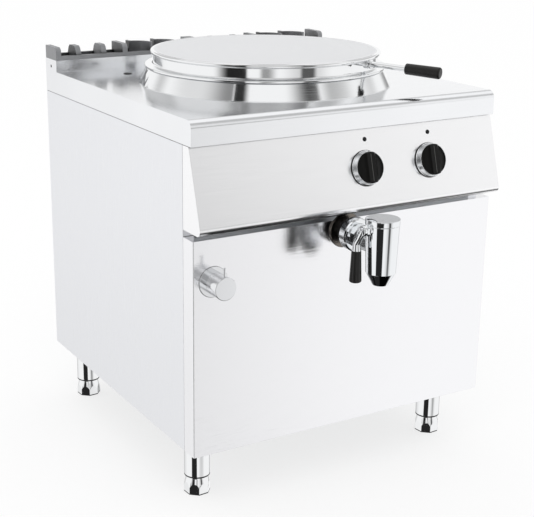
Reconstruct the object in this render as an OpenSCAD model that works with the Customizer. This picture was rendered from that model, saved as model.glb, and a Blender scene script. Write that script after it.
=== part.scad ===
// Electric cooking kettle: a jacketed pan in a stainless cabinet on four screw feet.
// Lengths are in millimetres. Modules are drawn with y = 0 at the worktop's front edge
// and z = 0 on the floor.

/* [Cabinet] */
// Width of the cabinet and worktop
body_w = 800; // [790:1:900]
// Depth of the worktop, front edge to back
body_d = 800; // [790:1:900]
// Height of the worktop's top face
top_z = 890; // [885:1:920]
// Height of the lower edge of the worktop's skirts
skirt_z = 835; // [825:1:840]
// Height of the cabinet's lower edge
cabinet_z = 142; // [130:1:160]
// Thickness of the stainless sheet
sheet = 1.5; // [1:0.1:2]
// Visible seam between neighbouring panels
seam = 0.8; // [0.4:0.1:0.9]
// Depth of the upstand at the back of the worktop
upstand_d = 72; // [65:1:78]
// Height of the upstand above the worktop
upstand_h = 29; // [24:1:40]
// Radius of the worktop's rounded front edge
nose_r = 18; // [10:1:22]
// Line where the front parts end and the side panels start
side_y = 39; // [36:1:42]

/* [Front] */
// How far the front panel stands in front of the worktop's edge
front_out = 6; // [2:1:10]
// Top of the front panel
front_top_z = 637; // [630:1:640]
// Height of the recess between front panel and control panel
recess_h = 16; // [12:1:20]
// Place of the sloping fascia's top edge behind the worktop's edge
fascia_top_y = 10; // [6:1:14]
// Lean of the fascia from upright, in degrees
fascia_tilt = 16.4; // [12:0.2:18]
// Radius of the fascia's rounded lower edge
fascia_r = 14; // [8:1:18]

/* [Knobs and lamps] */
// Distance of the knobs below the fascia's top edge
knob_drop = 86; // [80:1:92]
// Place of the left knob, from the middle
knob_x = 28.6; // [20:0.1:40]
// Distance between the two knobs
knob_pitch = 175.4; // [150:0.1:190]
// Radius of a knob's black cap
knob_r = 34.6; // [28:0.1:36]
// Height of a knob above the fascia
knob_h = 24.4; // [20:0.1:30]
// Radius of the chrome bezel
bezel_r = 39.6; // [38:0.1:44]
// Radius of an indicator lamp
lamp_r = 5; // [4:0.5:7]
// Distance of the lamps below the fascia's top edge
lamp_drop = 22; // [18:1:28]
// Sideways step from a knob's centre to its lamp
lamp_step = 5.8; // [0:0.1:8]

/* [Pan] */
// Distance of the pan's centre behind the worktop's edge
pan_y = 376; // [370:1:390]
// Inner radius of the pan
pan_r = 265; // [255:1:266]
// Wall thickness of the pan
pan_wall = 2; // [1.5:0.1:3]
// Height of the pan's rim
rim_z = 928; // [924:1:930]
// Inner bottom of the pan
pan_floor_z = 586; // [580:1:588]
// How far the collar's rounded top edge stands outside the pan's inner wall
neck_out = 23; // [19:1:25]
// How far the collar widens from its top edge to its foot on the worktop
collar_out = 17; // [12:1:20]

/* [Lid] */
// Height of the lid's top face
lid_top_z = 968; // [964:1:975]
// Outer radius of the lid's skirt
lid_skirt_r = 271; // [270:0.5:272]
// How far the lid's rolled top edge stands outside its skirt
bead_out = 6.5; // [5:0.5:9]
// How far the lid's turned-out lip stands outside its skirt
lip_out = 20; // [17:1:22]
// Direction of the lid's handle from the right-hand side, in degrees
handle_angle = -60; // [-65:1:-55]
// Distance from the lid's skirt to the start of the handle's grip
grip_start = 95; // [79:1:109]
// Length of the handle's grip
grip_l = 84; // [70:1:90]
// Radius of the handle's rod
rod_r = 6.5; // [5:0.5:8]
// Radius of the handle's grip at its root
grip_r = 12.5; // [10:0.5:14]
// Distance from the lid's lip to its hinge pin
hinge_out = 23; // [22:1:25]
// Height of the lid's hinge pin
hinge_z = 928; // [926:1:930]
// Radius of the hinge pin
hinge_pin_r = 4; // [3:0.5:5]

/* [Tap] */
// Place of the tap, left of the middle
tap_x = -18; // [-25:1:-10]
// Height of the drain pipe's centre line
drain_z = 612; // [611:1:613]
// Distance of the spout's axis in front of the worktop's edge
spout_out = 145; // [140:1:155]
// Radius of the spout just under its cap
spout_r = 37; // [36:0.5:38]
// Top of the spout's cap
spout_top_z = 672; // [670:1:675]
// Lower mouth of the spout
spout_mouth_z = 525; // [515:1:530]
// Height of the tap's spindle
spindle_z = 651; // [650:1:652]
// Throw of the spindle's crank
crank_e = 10; // [9:0.5:10]
// Length of the tap's grip
tap_grip_l = 70; // [60:1:80]

/* [Level valve] */
// Distance of the level valve from the cabinet's left side
level_in = 48; // [44:1:50]
// Height of the level valve
level_z = 543; // [540:1:550]
// Radius of the level valve's body
level_r = 25.4; // [22:0.2:30]
// Length of the level valve's body in front of the front panel
level_l = 56; // [50:1:60]

/* [Feet] */
// Distance of the feet from the cabinet's sides
foot_side_in = 64; // [55:1:80]
// Distance of the front feet behind the worktop's edge
foot_front_y = 100; // [90:1:110]
// Distance of the rear feet from the back of the worktop
foot_rear_in = 62; // [55:1:80]
// Outer radius of a foot tube
foot_r = 30; // [26:1:32]
// Lower end of the foot tubes
foot_tube_z = 46; // [44:1:60]
// Width of a screw foot across its milled flats
foot_af = 57; // [54:1:58]

/* [Flue grilles] */
// Height of the grilles' frame
grille_base_h = 10; // [8:1:12]
// Height of the fins above the upstand
fin_h = 32; // [26:1:40]
// Thickness of a straight fin
fin_t = 14; // [10:1:16]

/* [Hidden] */
$fn = 96;
overrun = 5;
run_gap = 0.06;
part_gap = 0.3;
weld_gap = 0.15;
push_gap = 0.1;
octagon_angle = 22.5;

half_w = body_w / 2;
inner_w = half_w - sheet;
upstand_y = body_d - upstand_d;
upstand_z = top_z + upstand_h;
panel_top_z = skirt_z - seam;
front_back_y = side_y - seam;
recess_top_z = front_top_z + recess_h;

// Fascia line and the arc at its foot
fascia_gap = 4;
tongue_h = 12;
tilt_sin = sin(fascia_tilt);
tilt_cos = cos(fascia_tilt);
fascia_skin = sheet / tilt_cos;
fascia_top_z = skirt_z - fascia_gap;
fascia_arc_z = recess_top_z + fascia_r;
fascia_end_z = fascia_arc_z + fascia_r * tilt_sin;
fascia_end_y = fascia_top_y - (fascia_top_z - fascia_end_z) * tan(fascia_tilt);
fascia_arc_y = fascia_end_y + fascia_r * tilt_cos;
tongue_z = skirt_z + tongue_h;
tongue_y = fascia_top_y + (tongue_z - fascia_top_z) * tan(fascia_tilt);

// Frame and floor
side_fold = 25;
tray_t = 2;
tray_lip = 12;
tray_floor_z = cabinet_z + tray_t;
post_w = 30;
post_t = 2.5;
post_x = inner_w - sheet;
post_front_y = side_y + 2 * sheet;
post_rear_y = body_d - 2 * sheet;
foot_plate_t = 3;
rail_w = 25;
rail_h = 30;
beam_w = 30;
beam_h = 40;
beam_gap = 132;
shell_low_z = 500;
screw_r = 2;
screw_head_r = 5;
screw_head_h = 1.2;
screw_nut_h = 3;
screw_nut_r = 4;
screw_inset = 20;

// Pan, jacket and insulation
jacket_gap = 30;
jacket_r = pan_r + pan_wall + jacket_gap;
jacket_wall = 2;
jacket_floor_z = 515;
jacket_floor_t = 3;
jacket_top_z = 872;
jacket_out_r = jacket_r + jacket_wall;
blanket_t = 31;
blanket_r = jacket_out_r + blanket_t;
collar_foot_w = 9;
neck_r = pan_r + neck_out;
collar_r = neck_r + collar_out;
hole_r = collar_r - collar_foot_w;
collar_round_r = 4;
collar_round_x = neck_r - collar_round_r;
collar_round_z = rim_z - collar_round_r;
collar_dx = collar_round_x - collar_r;
collar_dz = collar_round_z - top_z;
collar_run = norm([collar_dx, collar_dz]);
collar_lean = atan2(collar_dz, collar_dx) - asin(collar_round_r / collar_run) - 90;
element_r = 4.5;
element_z = 550;
element_rings = 3;
element_first_r = 90;
element_step_r = 60;
element_gap_angle = 30;
element_leg = 63;
element_leg_r = 5.5;
heater_t = 8;
heater_margin = 20;
heater_x0 = element_first_r * cos(element_gap_angle) - heater_margin;
element_last_r = element_first_r + (element_rings - 1) * element_step_r;
heater_x1 = element_last_r * cos(element_gap_angle) + heater_margin;
heater_y = element_last_r * sin(element_gap_angle) + heater_margin;
heater_clear = 6;

// Drain pipe and level pipe
pipe_r = 23;
pipe_bore_r = 20;
pipe_end_out = 44;
pipe_flange_r = 32.6;
pipe_flange_l = 8;
strip_h = 60;
strip_gap = 3;
strip_low_z = drain_z + pipe_r + strip_gap;
level_x = level_in - half_w;
level_pipe_r = 8;
level_pipe_bore_r = 5;
level_shank_r = 10;
level_shank_l = 28;

// Safety valve in the rear left corner
safety_angle = 135;
safety_z = 845;
safety_pipe_r = 8;
safety_gap = 46;
safety_reach = blanket_r + safety_gap;
safety_body_r = 15;
safety_body_h = 44;
safety_cap_r = 9;
safety_cap_h = 12;

// Lid and handle
lid_r = lid_skirt_r + bead_out;
lip_r = lid_skirt_r + lip_out;
hinge_r = lip_r + hinge_out;
bead_r = 5;
bead_x = lid_r - bead_r;
bead_z = lid_top_z - bead_r;
bead_out_angle = acos((bead_x - lid_skirt_r) / bead_r) - 180;
bead_in_angle = acos((bead_x - lid_skirt_r + sheet) / bead_r) - 180;
bead_top_angle = -180 - asin((bead_r - sheet) / bead_r);
lip_t = 2.5;
lip_gap = 3;
lip_z = rim_z + lip_gap;
lip_bend_r = 5;
gasket_inset = 3.5;
gasket_w = 8;
gasket_r = pan_r + gasket_inset;
gasket_out_r = gasket_r + gasket_w;
rod_root_z = 952.3;
rod_fall = 8.3;
grip_end = grip_start + grip_l;
rod_tilt = atan(rod_fall / grip_end);
rod_foot_r = 11;
rod_foot_l = 10;
rod_in_grip = 60;
grip_end_grow = 1;
grip_round = 5;
rod_root_gap = 4;
arm_half = 9.7;
ear_t = 5;
ear_gap = 0.3;
ear_half = arm_half + ear_gap;
knuckle_r = 8;
arm_t = 5;
arm_gap = 5;
arm_low_z = lip_z + arm_gap;
arm_reach = 46;
bracket_t = 3;
bracket_half = ear_half + ear_t;
pin_head_r = 6;
pin_head_l = 2;

// Tap
spout_y = -spout_out;
rosette_r = 40;
rosette_t = 4;
nut_r = 38;
nut_back_out = 36;
nut_front_out = 60;
nut_lip = 8;
nut_chamfer = 3;
neck_pipe_r = 27;
neck_flats_out = 64;
neck_af = 48;
spout_wall = 6;
spout_low_r = 33;
spout_cone_h = 19;
spout_low_z = spout_mouth_z + spout_cone_h;
mouth_r = 17.5;
mouth_bore_r = 13.5;
mouth_land = 4;
spout_bore_r = spout_r - spout_wall;
seat_z = 578;
seat_t = 6;
seat_bore_r = 20;
cap_h = 12;
cap_rim = 0.5;
cap_r = spout_r + cap_rim;
cap_wall = 4;
cap_top_chamfer = 1.2;
spout_rim_z = spout_top_z - cap_h;
boss_r = 13.5;
boss_out = 40;
gland_thread_r = 8;
gland_hex_r = 12.5;
gland_hex_l = 6;
spindle_r = 5;
hub_r = 12;
hub_l = 8;
hub_back = boss_out + gland_hex_l + part_gap;
hub_front = hub_back + hub_l;
crank_t = 5;
crank_in = 2;
crank_w = 4.5;
crank_web = 3.5;
crank_boss = 0.5;
crank_pin_r = 3;
crank_pin_l = 8;
crank_hub_r = 7;
crank_angle = 45;
plunger_r = 26;
plunger_t = 6;
stem_r = 4;
stem_top = 25;
yoke_t = 5;
yoke_x = -1;
slot_play = 0.6;
yoke_edge = 7;
lever_root_r = 10;
lever_out = 4;
lever_drop = 30;
lever_back = 11;
lever_ball_r = 8;
ferrule_h = 15;
ferrule_r = 10.2;
tap_grip_low = -ferrule_h - tap_grip_l;
tap_grip_r = 10.5;
tap_grip_end_r = 13.5;
tap_grip_round = 3;
tang_r = 4;
tang_l = 30;

// Level valve
level_rosette_r = 34;
level_rosette_t = 2;
level_fixed_l = 26;
level_pin_r = 2.7;
level_pin_back = 6.4;
level_pin_top = 45;
level_chamfer = 1;

// Knobs, lamps and switches
bezel_base_t = 3;
bezel_h = 17;
bezel_rim = 1.6;
bezel_front_r = knob_r + bezel_rim;
bezel_hole_r = 9;
knob_back = 6;
knob_boss_r = 8;
knob_boss_l = 4;
knob_shaft_r = 3;
knob_shaft_in = 14;
knob_shaft_room = 1;
scoop_r = 26;
scoop_bar = 5.5;
scoop_depth = 11;
knob_chamfer = 1.5;
lamp_h = 2.2;
lamp_stem_r = 3.9;
lamp_stem_l = 16;
switch_w = 44;
switch_l = 32;
switch_bush_r = 5;
regulator_w = 40;

// Electrical pieces near the floor
tray_side_in = 35;
tray_w = 215;
tray_x1 = half_w - tray_side_in;
tray_x0 = tray_x1 - tray_w;
tray_y = 120;
tray_h = 296;
tray_foot = 20;
contactor_in = 20;
contactor_x = tray_x0 + contactor_in;
contactor_z = 290;
contactor_w = 60;
contactor_d = 50;
contactor_h = 85;
terminal_in = 90;
terminal_x = tray_x0 + terminal_in;
terminal_z = 190;
terminal_w = 110;
terminal_d = 32;
terminal_h = 36;
terminal_ways = 5;
gland_in = 100;
gland_x = half_w - gland_in;
gland_y = body_d - gland_in;
entry_r = 9;
entry_neck_r = 12;
entry_flange_r = 18;
entry_flange_t = 4;
entry_cap_r = 15;
entry_cap_l = 20;
entry_nut_t = 5;

// Feet
foot_wall = 2.5;
bush_flange_t = 3;
bush_stem_l = 14;
foot_gap = 0.3;
foot_x = half_w - foot_side_in;
foot_rear_y = body_d - foot_rear_in;
foot_stem_r = 10;
foot_stem_l = 60;
foot_neck_r = 25.7;
foot_neck_z = foot_tube_z - bush_flange_t - foot_gap;
foot_cone_z = 38;
foot_cone_low_z = 16;
foot_out_r = foot_af / 2 / cos(octagon_angle);
foot_turn = 26.6;

// Flue grilles: places along a grille as shares of its length
fin_shares = [0.16, 0.335, 0.475];
vane_shares = [0.575, 0.754];
grille_l = half_w;
grille_front = 1;
grille_rear = 3;
grille_y0 = upstand_y - grille_front;
grille_y1 = body_d - grille_rear;
grille_bar = 10;
grille_z = upstand_z + grille_base_h;
fin_z = upstand_z + fin_h;
fin_lean = 7;
fin_crown = 6;
fin_seat = 4;
fin_y0 = grille_y0 + grille_bar - fin_seat;
fin_y1 = grille_y1 - grille_bar + fin_seat;
vane_r = 48;
vane_t = 6;
vane_tail = 6;
end_round = 12;

// Small black plug in the worktop
plug_side_in = 150;
plug_rear_in = 101;
plug_x = plug_side_in - half_w;
plug_y = upstand_y - plug_rear_in;
plug_r = 10.5;
plug_h = 1.5;
plug_stem_r = 9;
plug_stem_l = 8;

// Hole in the upstand's ends
end_hole_in = 36;
end_hole_y = upstand_y + end_hole_in;
end_hole_drop = 18;
end_hole_z = upstand_z - end_hole_drop;
end_hole_r = 3.8;

// Rear vents
vent_n = 6;
vent_w = 300;
vent_h = 8;
vent_pitch = 22;
vent_z = 640;

// The part's own frame has its origin below the middle of the whole outline
front_reach = -(spout_out + cap_r);
frame_y = -(front_reach + body_d) / 2;

function arc(cx, cy, r, a0, a1, n = 12) =
    [for (i = [0:n]) let (a = a0 + (a1 - a0) * i / n) [cx + r * cos(a), cy + r * sin(a)]];

module in_frame() translate([0, frame_y, 0]) children();
module box(x0, x1, y0, y1, z0, z1) translate([x0, y0, z0]) cube([x1 - x0, y1 - y0, z1 - z0]);
module along_x(x0, x1) translate([x0, 0, 0]) rotate([90, 0, 90]) linear_extrude(x1 - x0) children();
module rod_z(r, z0, z1) translate([0, 0, z0]) cylinder(r = r, h = z1 - z0);
module tube_z(r, bore, z0, z1) difference() {
    rod_z(r, z0, z1);
    rod_z(bore, z0 - overrun, z1 + overrun);
}
module at_pan() translate([0, pan_y, 0]) children();
module at_tap() translate([tap_x, 0, drain_z]) rotate([90, 0, 0]) children();
module at_spout() translate([tap_x, spout_y, 0]) children();
module at_spindle() translate([tap_x, spout_y, spindle_z]) rotate([0, -90, 0]) children();
module at_level() translate([level_x, 0, level_z]) rotate([90, 0, 0]) children();
module at_hinge() at_pan() rotate([0, 0, handle_angle + 180]) translate([hinge_r, 0, hinge_z]) children();
module on_fascia(x, drop) translate([x, fascia_top_y - drop * tilt_sin, fascia_top_z - drop * tilt_cos])
    rotate([90 - fascia_tilt, 0, 0]) children();
module at_foot(sx, y) translate([sx * foot_x, y, 0]) children();
module each_foot() for (sx = [-1, 1], y = [foot_front_y, foot_rear_y]) at_foot(sx, y) children();
module each_knob() for (i = [0, 1]) on_fascia(knob_x + i * knob_pitch, knob_drop) children();
module each_lamp() for (i = [0, 1]) on_fascia(knob_x + lamp_step + i * knob_pitch, lamp_drop) children();
module front_corners() for (sx = [-1, 1]) translate([sx * post_x, post_front_y, 0])
    scale([-sx, 1, 1]) children();
module rear_corners() for (sx = [-1, 1]) translate([sx * post_x, post_rear_y, 0])
    scale([-sx, -1, 1]) children();
module each_corner() {
    front_corners() children();
    rear_corners() children();
}
module screw_place() translate([screw_inset, screw_inset, 0]) children();

// Worktop pressing
module worktop_outline() polygon(concat([[0, skirt_z]], arc(nose_r, top_z - nose_r, nose_r, 180, 90),
    [[upstand_y, top_z], [upstand_y, upstand_z], [body_d, upstand_z], [body_d, skirt_z]]));
module worktop_hollow() polygon(concat([[sheet, skirt_z - overrun]],
    arc(nose_r, top_z - nose_r, nose_r - sheet, 180, 90),
    [[upstand_y + sheet, top_z - sheet], [upstand_y + sheet, upstand_z - sheet],
    [body_d - sheet, upstand_z - sheet], [body_d - sheet, skirt_z - overrun]]));
module worktop() color("gainsboro") difference() {
    along_x(-half_w, half_w) worktop_outline();
    along_x(-inner_w, inner_w) worktop_hollow();
    at_pan() rod_z(hole_r, top_z - overrun, top_z + overrun);
    translate([plug_x, plug_y, 0]) rod_z(plug_stem_r + push_gap, top_z - overrun, top_z + overrun);
    for (x = [-half_w, half_w]) translate([x - overrun, end_hole_y, end_hole_z]) rotate([0, 90, 0])
        cylinder(r = end_hole_r, h = 2 * overrun);
}
module worktop_plug() color("black") translate([plug_x, plug_y, 0]) {
    rod_z(plug_r, top_z, top_z + plug_h);
    rod_z(plug_stem_r, top_z - plug_stem_l, top_z);
}

// Casing
module side_panel() {
    box(-half_w, -inner_w, side_y, body_d, cabinet_z, panel_top_z);
    box(-inner_w, side_fold - inner_w, side_y, side_y + sheet, cabinet_z, panel_top_z);
}
module side_panel_left() color("gainsboro") side_panel();
module side_panel_right() color("gainsboro") mirror([1, 0, 0]) side_panel();
module rear_panel() color("silver") difference() {
    box(-inner_w, inner_w, body_d - sheet, body_d, cabinet_z, panel_top_z);
    for (i = [0:vent_n - 1]) translate([0, 0, vent_z + i * vent_pitch])
        box(-vent_w / 2, vent_w / 2, body_d - overrun, body_d + overrun, 0, vent_h);
}
module front_panel() color("gainsboro") difference() {
    box(-half_w, half_w, -front_out, front_back_y, cabinet_z, front_top_z);
    box(-inner_w, inner_w, sheet - front_out, front_back_y + overrun, cabinet_z + sheet, front_top_z - sheet);
    at_tap() rod_z(pipe_r + part_gap, -overrun, front_out + overrun);
    at_level() rod_z(level_shank_r + push_gap, -overrun, front_out + overrun);
}
module fascia_outline() polygon(concat([[tongue_y, tongue_z]],
    arc(fascia_arc_y, fascia_arc_z, fascia_r, 180 - fascia_tilt, 270),
    [[front_back_y, recess_top_z], [front_back_y, tongue_z]]));
module fascia_hollow() polygon(concat([[tongue_y + fascia_skin - sheet * tan(fascia_tilt), tongue_z - sheet]],
    arc(fascia_arc_y, fascia_arc_z, fascia_r - sheet, 180 - fascia_tilt, 270),
    [[front_back_y + overrun, recess_top_z + sheet], [front_back_y + overrun, tongue_z - sheet]]));
module control_panel() color("gainsboro") difference() {
    along_x(-half_w, half_w) fascia_outline();
    along_x(-inner_w, inner_w) fascia_hollow();
    for (sx = [-1, 1]) translate([sx * half_w, 0, 0])
        box(-2 * sheet, 2 * sheet, -overrun, side_y + overrun, panel_top_z, tongue_z + overrun);
    each_knob() rod_z(switch_bush_r + push_gap, -overrun, overrun);
    each_lamp() rod_z(lamp_stem_r + push_gap, -overrun, overrun);
}

// Frame under the casing
module recess_strip() color("gainsboro")
    box(side_fold - inner_w, inner_w - side_fold, side_y, side_y + sheet, strip_low_z, strip_low_z + strip_h);
module floor_tray() color("silver") difference() {
    box(-inner_w, inner_w, side_y + sheet, body_d - sheet, cabinet_z, tray_floor_z + tray_lip);
    box(-post_x, post_x, post_front_y, post_rear_y, tray_floor_z, tray_floor_z + 2 * tray_lip);
    each_corner() screw_place() rod_z(screw_r + push_gap, cabinet_z - overrun, cabinet_z + overrun);
    translate([gland_x, gland_y, 0]) rod_z(entry_neck_r + push_gap, cabinet_z - overrun, cabinet_z + overrun);
}
module post(top) {
    box(0, post_t, 0, post_w, tray_floor_z, top);
    box(post_t, post_w, 0, post_t, tray_floor_z, top);
    difference() {
        box(post_t, post_w, post_t, post_w, tray_floor_z, tray_floor_z + foot_plate_t);
        screw_place() rod_z(screw_r + push_gap, cabinet_z, tray_floor_z + 2 * foot_plate_t);
    }
}
module corner_posts() color("darkgray") {
    front_corners() post(top_z - sheet);
    rear_corners() post(upstand_z - sheet);
}
module frame_rails() color("darkgray") {
    for (sx = [-1, 1]) scale([sx, 1, 1])
        box(post_x - rail_w, post_x, post_front_y + post_w, post_rear_y - post_w,
            shell_low_z - beam_h - rail_h, shell_low_z - beam_h);
    for (sy = [-1, 1]) at_pan() translate([0, sy * beam_gap, 0])
        box(-post_x, post_x, -beam_w / 2, beam_w / 2, shell_low_z - beam_h, shell_low_z);
}
module floor_screws() color("silver") each_corner() screw_place() {
    rod_z(screw_head_r, cabinet_z - screw_head_h, cabinet_z);
    rod_z(screw_r, cabinet_z, tray_floor_z + foot_plate_t + screw_nut_h);
    rod_z(screw_nut_r, tray_floor_z + foot_plate_t, tray_floor_z + foot_plate_t + screw_nut_h);
}

// Feet
module foot_tubes() color("silver") each_foot() tube_z(foot_r, foot_r - foot_wall, foot_tube_z, cabinet_z);
module foot_bushes() color("black") each_foot() difference() {
    union() {
        rod_z(foot_r, foot_tube_z - bush_flange_t, foot_tube_z);
        rod_z(foot_r - foot_wall, foot_tube_z, foot_tube_z + bush_stem_l);
    }
    rod_z(foot_stem_r, 0, cabinet_z);
}
module screw_foot() color("silver") {
    rod_z(foot_stem_r - run_gap, foot_neck_z - overrun, foot_neck_z + foot_stem_l);
    intersection() {
        rotate_extrude() polygon([[0, 0], [foot_out_r, 0], [foot_out_r, foot_cone_low_z],
            [foot_neck_r, foot_cone_z], [foot_neck_r, foot_neck_z], [0, foot_neck_z]]);
        rotate([0, 0, foot_turn]) cylinder(r = foot_out_r, h = foot_neck_z + overrun, $fn = 8);
    }
}
module foot_front_left() at_foot(-1, foot_front_y) screw_foot();
module foot_front_right() at_foot(1, foot_front_y) screw_foot();
module foot_rear_left() at_foot(-1, foot_rear_y) screw_foot();
module foot_rear_right() at_foot(1, foot_rear_y) screw_foot();

// Pan, collar, jacket and insulation
module pan() color("lightgray") difference() {
    at_pan() rod_z(pan_r + pan_wall, pan_floor_z - pan_wall, rim_z);
    at_pan() rod_z(pan_r, pan_floor_z, rim_z + overrun);
    drain_cut(pipe_r);
}
module drain_cut(r) at_tap() rod_z(r, -pan_y + pan_r - 2 * jacket_gap, 0);
module pan_collar() color("whitesmoke") at_pan() rotate_extrude($fn = 180) polygon(concat([[collar_r, top_z]],
    arc(collar_round_x, collar_round_z, collar_round_r, collar_lean, 90, 8),
    [[pan_r + pan_wall, rim_z], [pan_r + pan_wall, rim_z - sheet]],
    arc(collar_round_x, collar_round_z, collar_round_r - sheet, 90, collar_lean, 8),
    [[collar_r - sheet / cos(collar_lean), top_z]]));
module steam_jacket() color("lightgray") difference() {
    at_pan() rod_z(jacket_out_r, jacket_floor_z, jacket_top_z);
    at_pan() rod_z(jacket_r, jacket_floor_z + jacket_floor_t, jacket_top_z - jacket_wall);
    at_pan() rod_z(pan_r + pan_wall, jacket_top_z - overrun, jacket_top_z + overrun);
    drain_cut(pipe_r);
    level_bore(level_pipe_r);
    safety_bore(safety_pipe_r);
    at_elements() rod_z(element_leg_r + push_gap, jacket_floor_z - overrun, jacket_floor_z + 2 * overrun);
}
module insulation() color("khaki") difference() {
    at_pan() rod_z(blanket_r, shell_low_z, jacket_top_z);
    at_pan() rod_z(jacket_out_r, jacket_floor_z, jacket_top_z + overrun);
    at_pan() box(heater_x0 - heater_clear, heater_x1 + heater_clear,
        -heater_y - heater_clear, heater_y + heater_clear,
        shell_low_z - overrun, jacket_floor_z + overrun);
    drain_cut(pipe_r + part_gap);
    level_bore(level_pipe_r + part_gap);
    safety_bore(safety_pipe_r + part_gap);
}

// Heating elements: three open rings whose legs pass through the jacket's floor
module at_elements() at_pan() for (i = [0:element_rings - 1], s = [-1, 1])
    rotate([0, 0, s * element_gap_angle]) translate([element_first_r + i * element_step_r, 0, 0]) children();
module heating_elements() color("dimgray") {
    at_pan() for (i = [0:element_rings - 1]) translate([0, 0, element_z]) rotate([0, 0, element_gap_angle])
        rotate_extrude(angle = 360 - 2 * element_gap_angle)
            translate([element_first_r + i * element_step_r, 0])
            circle(r = element_r, $fn = 24);
    at_elements() rod_z(element_leg_r, element_z - element_leg, element_z + element_leg_r);
}
module heater_flange() color("silver") difference() {
    at_pan() box(heater_x0, heater_x1, -heater_y, heater_y, jacket_floor_z - heater_t, jacket_floor_z);
    at_elements()
        rod_z(element_leg_r + push_gap, jacket_floor_z - heater_t - overrun, jacket_floor_z + overrun);
}

// Pipes
module drain_pipe() color("silver") difference() {
    union() {
        at_tap() rod_z(pipe_r, -(pan_y - pan_r + overrun), pipe_end_out);
        at_tap() rod_z(pipe_flange_r, pipe_end_out - pipe_flange_l + part_gap, pipe_end_out);
    }
    at_tap() rod_z(pipe_bore_r, -pan_y, pipe_end_out + overrun);
    at_pan() rod_z(pan_r, 0, rim_z);
}
module level_bore(r) translate([level_x, pan_y, level_z]) rotate([0, 90, 0])
    cylinder(r = r, h = -level_x - jacket_r + overrun);
module level_pipe() color("silver") difference() {
    union() {
        at_level() rod_z(level_pipe_r, -pan_y, -level_shank_l + front_out);
        translate([level_x, pan_y, level_z]) sphere(r = level_pipe_r, $fn = 48);
        level_bore(level_pipe_r);
    }
    at_level() rod_z(level_pipe_bore_r, -pan_y, 0);
    translate([level_x, pan_y, level_z]) sphere(r = level_pipe_bore_r, $fn = 48);
    level_bore(level_pipe_bore_r);
    translate([0, 0, -overrun]) at_pan() rod_z(jacket_r, 0, rim_z);
}
module safety_bore(r) at_pan() rotate([0, 0, safety_angle]) translate([0, 0, safety_z]) rotate([0, 90, 0])
    rod_z(r, jacket_r - overrun, safety_reach);
module safety_valve() color("goldenrod") difference() {
    union() {
        safety_bore(safety_pipe_r);
        at_pan() rotate([0, 0, safety_angle]) translate([safety_reach, 0, safety_z]) {
            rod_z(safety_body_r, -safety_body_h / 2, safety_body_h / 2 - safety_cap_h);
            rod_z(safety_cap_r, 0, safety_body_h / 2);
        }
    }
    at_pan() rod_z(jacket_r, 0, rim_z);
    safety_bore(safety_pipe_r / 2);
}

// Lid
module lid_section() polygon(concat([[0, lid_top_z]], arc(bead_x, bead_z, bead_r, 90, bead_out_angle, 16),
    arc(lid_skirt_r + lip_bend_r, lip_z + lip_t + lip_bend_r, lip_bend_r, 180, 270, 8),
    arc(lip_r - lip_t / 2, lip_z + lip_t / 2, lip_t / 2, 90, -90, 8), [[lid_skirt_r - sheet, lip_z]],
    arc(bead_x, bead_z, bead_r, bead_in_angle, bead_top_angle, 8), [[0, lid_top_z - sheet]]));
module lid() color("whitesmoke") at_pan() rotate_extrude($fn = 180) lid_section();
module lid_envelope() at_pan() {
    rod_z(lid_skirt_r + weld_gap, lip_z, lid_top_z);
    rod_z(lid_r + weld_gap, bead_z - bead_r, lid_top_z);
}
module lid_gasket() color("lightgray") at_pan() tube_z(gasket_out_r, gasket_r, rim_z + part_gap, lip_z);
module on_handle() at_pan() rotate([0, 0, handle_angle]) translate([lid_skirt_r, 0, rod_root_z])
    rotate([0, 90 + rod_tilt, 0]) children();
module lid_handle_rod() color("silver") difference() {
    on_handle() union() {
        rod_z(rod_r, -rod_root_gap, grip_start + rod_in_grip);
        rod_z(rod_foot_r, -rod_root_gap, rod_foot_l);
    }
    lid_envelope();
}
module lid_grip() color("black") on_handle() difference() {
    rotate_extrude() polygon(concat([[0, grip_start], [grip_r, grip_start]],
        arc(grip_r + grip_end_grow - grip_round, grip_end - grip_round, grip_round, 0, 90, 6),
        [[0, grip_end]]));
    rod_z(rod_r, 0, grip_start + rod_in_grip);
}

// Lid hinge, opposite the handle
module on_pin() at_hinge() rotate([90, 0, 0]) children();
module lid_hinge_arm() color("silver") difference() {
    union() {
        on_pin() rod_z(knuckle_r, -arm_half, arm_half);
        at_hinge() box(-arm_reach, knuckle_r, -arm_half, arm_half,
            arm_low_z - hinge_z, arm_low_z - hinge_z + arm_t);
        at_hinge() box(-knuckle_r, knuckle_r, -arm_half, arm_half, 0, arm_low_z - hinge_z);
    }
    lid_envelope();
    on_pin() rod_z(hinge_pin_r + run_gap, -bracket_half, bracket_half);
    at_pan() rod_z(lid_skirt_r + lip_bend_r, 0, arm_low_z);
}
module hinge_bracket() color("silver") difference() {
    union() {
        for (s = [-1, 1]) at_hinge() {
            translate([0, s * (ear_half + ear_t / 2), 0]) {
                rotate([90, 0, 0]) rod_z(knuckle_r, -ear_t / 2, ear_t / 2);
                box(-knuckle_r, knuckle_r, -ear_t / 2, ear_t / 2, top_z - hinge_z, 0);
            }
        }
        at_hinge() box(-knuckle_r, knuckle_r, -bracket_half, bracket_half, top_z - hinge_z,
            top_z - hinge_z + bracket_t);
    }
    on_pin() rod_z(hinge_pin_r, -bracket_half - overrun, bracket_half + overrun);
}
module hinge_pin() color("silver") on_pin() {
    rod_z(hinge_pin_r, -bracket_half, bracket_half);
    for (s = [-1, 1]) translate([0, 0, s * (bracket_half + pin_head_l / 2)])
        rod_z(pin_head_r, -pin_head_l / 2, pin_head_l / 2);
}

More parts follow.
